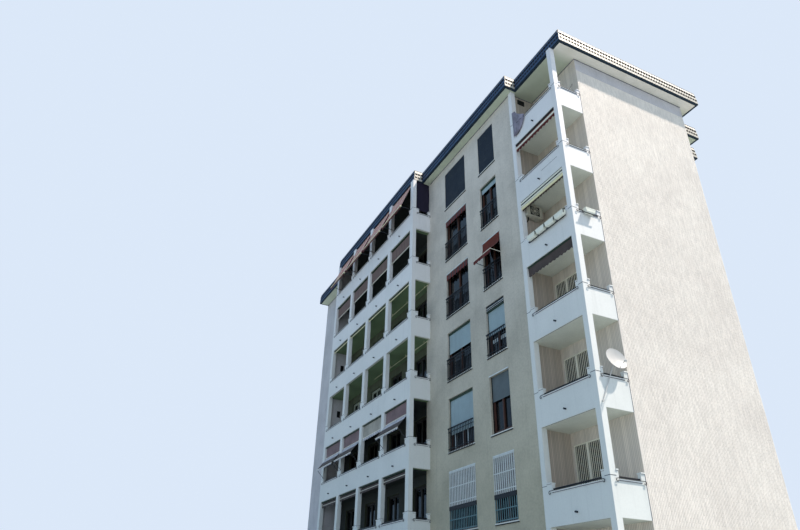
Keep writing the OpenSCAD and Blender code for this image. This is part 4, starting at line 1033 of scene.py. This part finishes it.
# Wide windows: valances; narrow window of storey 4: an awning with a bent profile
for j in (5, 4):
    z = LEVELS[j] + HEAD
    cloth(f"window_valance_{j}", [(-4.742, z - 0.015), (-4.750, z - 0.33)], (WIN_A[0] - 0.05, WIN_A[1] - 0.01),
          CLOTH_MAROON, "window_awnings", "middle_spandrels", "red_cloth", scallop=0.09, pitch=0.24, step=0.03,
          sag=0.003)
x = (WIN_B[0] + 0.01, WIN_B[1] - 0.01)
path = [(-4.762, 15.872), (-4.765, 15.62), (-4.80, 15.38), (-4.92, 15.22), (-5.245, 14.89)]
cloth("window_awning_top", path, x, CLOTH_RED, "window_awnings", "middle_spandrels", "red_cloth", "stretched",
      sag=0.006, ripple=0.004)
cloth("window_awning_valance", [(-5.262, 14.875), (-5.268, 14.675)], (x[0] - 0.01, x[1] + 0.01), CLOTH_DARKRED,
      "window_awnings", "window_awning_top", "red_cloth", scallop=0.05, pitch=0.20, step=0.03, sag=0.002)
bars.rod((x[0] - 0.02, x[1] + 0.02), -5.255, 14.88, 0.018, 10)
bars.tube([(x[1] + 0.005, -5.25, 14.87), (x[1] + 0.005, -4.66, 14.86)], 0.014, 6)
arms.tube([(x[0], -5.25, 14.86), (x[0], -4.66, 14.80)], 0.013, 6)
bars.make("awning_bars", BAR_CREAM, "white_frame", smooth=True)
yellow.make("awning_rolls", BAR_YELLOW, "awning_cloth", smooth=True)
arms.make("awning_arms", LOOKS["spout_metal"], "spout_metal", smooth=True)

# Top corner loggia: a cloth that hangs over the parapet beside the partition
rows = []
for t in np.linspace(0, 1, 26):
    if t < 0.46:
        wide = 0.22 + 0.60 * (t / 0.46) ** 1.5
    else:
        wide = 0.12 + 0.70 * math.sqrt(max(0.0, 1 - ((t - 0.46) / 0.54) ** 1.8))
    row = []
    for u in np.linspace(0, 1, 40):
        fold = 0.020 * (0.4 + 0.6 * t) * math.sin(2 * math.pi * 3.5 * u + 0.8 * math.sin(3 * t + 5 * u))
        hem = 0.06 * math.sin(3.1 * u + 0.4)
        row.append((11.097 + u * wide, -4.852 + fold, 21.120 - t * (1.42 - hem) - 0.05 * u * (1 - t)))
    rows.append(row)
obj = grid("hanging_cloth_top", rows, CLOTH_GREY, "plain_cloth")
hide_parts("hanging_cloth")

# Side screen of the top storey's long loggia
rows = []
for a in np.linspace(0, 1, 30):
    rows.append([(3.210 + 0.012 * math.sin(9 * a + 4 * u), -5.595 + u * 0.84,
                  22.494 - a * 1.88) for u in np.linspace(0, 1, 18)])
screen = grid("side_screen_cloth", rows, SCREEN_NAVY, "screen_panel")
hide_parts("side_screen")

# Fittings of the corner loggias
# Planter boxes: tapered, with a rolled rim, soil, and a holder of flat iron
tubs, soil, holder = Bits(), Bits(), Bits()


def planter(axis, run, face, out, z):
    """A planter box hung outside a ledge: run along axis, face the ledge's outer edge."""
    def add(bits, along0, across0, along1, across1, z0, z1):
        corners = []
        for al, ac, h in ((along0, across0, z0), (along1, across1, z1)):
            for u, v in ((al[0], ac[0]), (al[1], ac[0]), (al[1], ac[1]), (al[0], ac[1])):
                v = face + out * v
                corners.append((u, v, h) if axis == "x" else (v, u, h))
        bits.add(corners, CUBE_FACES)
    a, b = run
    foot, waist, rim = [(a + d, b - d) for d in (0.075, 0.040, 0.010)]
    add(tubs, foot, (0.045, 0.135), waist, (0.015, 0.165), z, z + 0.045)
    add(tubs, waist, (0.015, 0.165), rim, (0.006, 0.174), z + 0.045, z + 0.178)
    for al, ac in (((a, b), (0.0, 0.014)), ((a, b), (0.166, 0.180)),
                   ((a, a + 0.014), (0.0, 0.180)), ((b - 0.014, b), (0.0, 0.180))):
        add(tubs, al, ac, al, ac, z + 0.168, z + 0.200)
    bed = (a + 0.014, b - 0.014)
    add(soil, bed, (0.014, 0.166), bed, (0.014, 0.166), z + 0.178, z + 0.186)


for k in range(4):
    x = NEAR_X[0] + 0.135 + 0.545 * k
    planter("x", (x, x + 0.50), Y_NEAR - 0.030, -1, LEVELS[4] + 0.89)
    holder.box((x + 0.504, x + 0.541), (-5.000, -4.992), (LEVELS[4] + 0.93, LEVELS[4] + 1.085))
holder.box((NEAR_X[0] + 0.10, NEAR_X[1] + 0.04), (-4.880, -4.850), (LEVELS[4] + 0.868, LEVELS[4] + 0.888))
planter("y", (-4.36, -3.90), X_GABLE + 0.032, 1, LEVELS[4] + 0.89)
holder.box((14.045, 14.075), (-4.50, -3.80), (LEVELS[4] + 0.866, LEVELS[4] + 0.886))
tubs.make("planter_tubs", TUB_WHITE, "planter_plastic", ("planter_boxes",), bevel=0.006)
soil.make("planter_soil", SOIL, "planter_plastic")
holder.make("planter_holders", LOOKS["rail_paint"], "rail_paint")

# Outdoor unit: fan guard, louvres, lid seam and a short pair of pipes
lo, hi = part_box("outdoor_unit")
unit_y, unit_z = (lo[1] + hi[1]) / 2, (lo[2] + 0.03 + hi[2]) / 2
guard, seams, fan_and_shade = Bits(), Bits(), Bits()


def on_fan(out, r, a):
    """A point in front of the unit, at radius r and angle a round the fan's axis."""
    return hi[0] + out, unit_y + r * math.cos(a), unit_z + r * math.sin(a)


for r in (0.055, 0.085, 0.115, 0.145, 0.175, 0.200):
    ring = [on_fan(0.004, r, a) for a in np.linspace(0, 2 * math.pi, 29)]
    guard.tube(ring, 0.0045, 6, closed_ends=False)
for a in np.linspace(0, 2 * math.pi, 9)[:-1]:
    guard.tube([on_fan(0.006, r, a) for r in (0.03, 0.12, 0.205)], 0.004, 6)
guard.box((hi[0] - 0.002, hi[0] + 0.008), (unit_y - 0.045, unit_y + 0.045), (unit_z - 0.045, unit_z + 0.045))
for k in range(5):
    a = 2 * math.pi * k / 5
    for t in np.linspace(0.05, 0.17, 5):
        _, y, z = on_fan(0, t, a + t)
        fan_and_shade.box((hi[0] - 0.034, hi[0] - 0.014), (y - 0.022, y + 0.022), (z - 0.022, z + 0.022))
# A black sheet over the unit's face: painted shade of the fan's chamber behind the guard.
fan_and_shade.box((hi[0] + 0.0005, hi[0] + 0.0025), (unit_y - 0.23, unit_y + 0.23), (unit_z - 0.215, unit_z + 0.215))
for y in (lo[1] + 0.12, lo[1] + 0.15):
    x = lo[0] + 0.15
    pipe = [(x, y, lo[2] + 0.04), (x, y, lo[2] - 0.10), (X_ROOM + 0.02, y, lo[2] - 0.16)]
    fan_and_shade.tube(pipe, 0.012, 8)
for z in (hi[2] - 0.045, lo[2] + 0.085):
    seams.box((lo[0] + 0.03, hi[0] + 0.0015), (lo[1] - 0.0015, hi[1] + 0.0015), (z, z + 0.003))
for k in range(9):
    z = lo[2] + 0.13 + k * 0.035
    seams.box((lo[0] + 0.09, hi[0] - 0.06), (lo[1] - 0.004, lo[1] + 0.001), (z, z + 0.012))
guard.make("unit_guard", LOOKS["unit_metal"], "unit_metal", smooth=True)
fan_and_shade.make("unit_fan", BLACK_PAINT_AND_SHADE, "unit_metal")
seams.make("unit_seams", JOINT_AND_SHADOW_GREY, "unit_metal")

# Small things seen on the walls
small = Bits()
small.box((X_ROOM, X_ROOM + 0.03), (-4.34, -3.98), (22.06, 22.33))
small.box((12.521, 13.504), (Y_NEAR - 0.002, Y_NEAR), (16.884, 16.898))
small.box((12.40, 12.52), (Y_DOOR - 0.05, Y_DOOR), (LEVELS[1] + 2.28, LEVELS[1] + 2.50))
small.tube([(13.84, -4.011, 20.44), (13.84, -3.764, 20.907)], 0.013, 6)
for z in (15.28, 12.32):
    small.box((-7.935, -7.905), (-5.18, -4.99), (z - 0.19, z + 0.19))
small.make("wall_fittings", BLACK_PAINT_AND_SHADE, "spout_metal", bevel=0.004)

# Stage, light and camera
ring = [(math.cos(a) * 260, math.sin(a) * 260, -0.004) for a in np.linspace(0, 2 * math.pi, 65)[:-1]]
ground = Look("floor", 0.95, 0.0, 0.1)
path = ground.node("LightPath")
seen = ground.calc("MAXIMUM", path.outputs["Is Camera Ray"], path.outputs["Is Transmission Ray"])
tone = ground.ramp(ground.noise(0.05, 3), [(0.3, (0.60, 0.61, 0.615)), (0.7, (0.62, 0.63, 0.635))])
ground.set("Base Color", ground.mix(seen, lin((0.61, 0.65, 0.66)), tone))
floor = new_object("floor", ring, [tuple(range(64))], ground.mat)

world = bpy.data.worlds.new("world")
bpy.context.scene.world = world
world.use_nodes = True
tree = world.node_tree
tree.nodes.clear()


def world_node(kind, *inputs, **props):
    """A node of the world with its first inputs fed in turn."""
    n = tree.nodes.new("ShaderNode" + kind)
    for key, value in props.items():
        setattr(n, key, value)
    for socket, value in zip(n.inputs, inputs):
        feed(tree, socket, value)
    return n


backdrop = world_node("Background", lin((0.86, 0.91, 0.975)), 1.0).outputs[0]
sky = world_node("Background", (0.27, 0.42, 0.61, 1.0), 1.0).outputs[0]
path = world_node("LightPath").outputs
seen = world_node("Math", path["Is Camera Ray"], path["Is Transmission Ray"], operation="MAXIMUM").outputs[0]
world_node("OutputWorld", world_node("MixShader", seen, sky, backdrop).outputs[0])


def sun(name, energy, colour, angle, towards, at):
    """A sun lamp that shines from the direction towards."""
    lamp = bpy.data.lights.new(name, "SUN")
    lamp.energy, lamp.color, lamp.angle = energy, colour, math.radians(angle)
    obj = bpy.data.objects.new(name, lamp)
    obj.rotation_euler = Vector(towards).to_track_quat("Z", "Y").to_euler()
    obj.location = at
    bpy.context.scene.collection.objects.link(obj)


sun("sun", 5.4, (1.0, 0.90, 0.79), 2.0, (0.316, 0.408, 0.857), (30, 30, 60))
sun("side_fill", 0.62, (1.0, 0.93, 0.86), 80, (0.93, -0.10, 0.20), (60, 0, 20))

YAW, PITCH, ROLL = -1.1308, 0.5248, 0.0281
cy, sy, cp, sp = math.cos(YAW), math.sin(YAW), math.cos(PITCH), math.sin(PITCH)
forward = Vector((sy * cp, cy * cp, sp))
right = Vector((cy, -sy, 0.0))
up = right.cross(forward)
right2 = math.cos(ROLL) * right + math.sin(ROLL) * up
up2 = -math.sin(ROLL) * right + math.cos(ROLL) * up
camera_data = bpy.data.cameras.new("camera")
camera_data.sensor_fit = "HORIZONTAL"
camera_data.sensor_width = 36.0
camera_data.lens = 36.0 * 608.36 / 800
camera_data.clip_end = 1000.0
camera = bpy.data.objects.new("camera", camera_data)
camera.matrix_world = Matrix((
    (right2.x, up2.x, -forward.x, 27.154),
    (right2.y, up2.y, -forward.y, -17.691),
    (right2.z, up2.z, -forward.z, 1.6),
    (0, 0, 0, 1),
))
bpy.context.scene.collection.objects.link(camera)
bpy.context.scene.camera = camera
bpy.context.scene.view_settings.view_transform = "Standard"

bpy.context.view_layer.update()
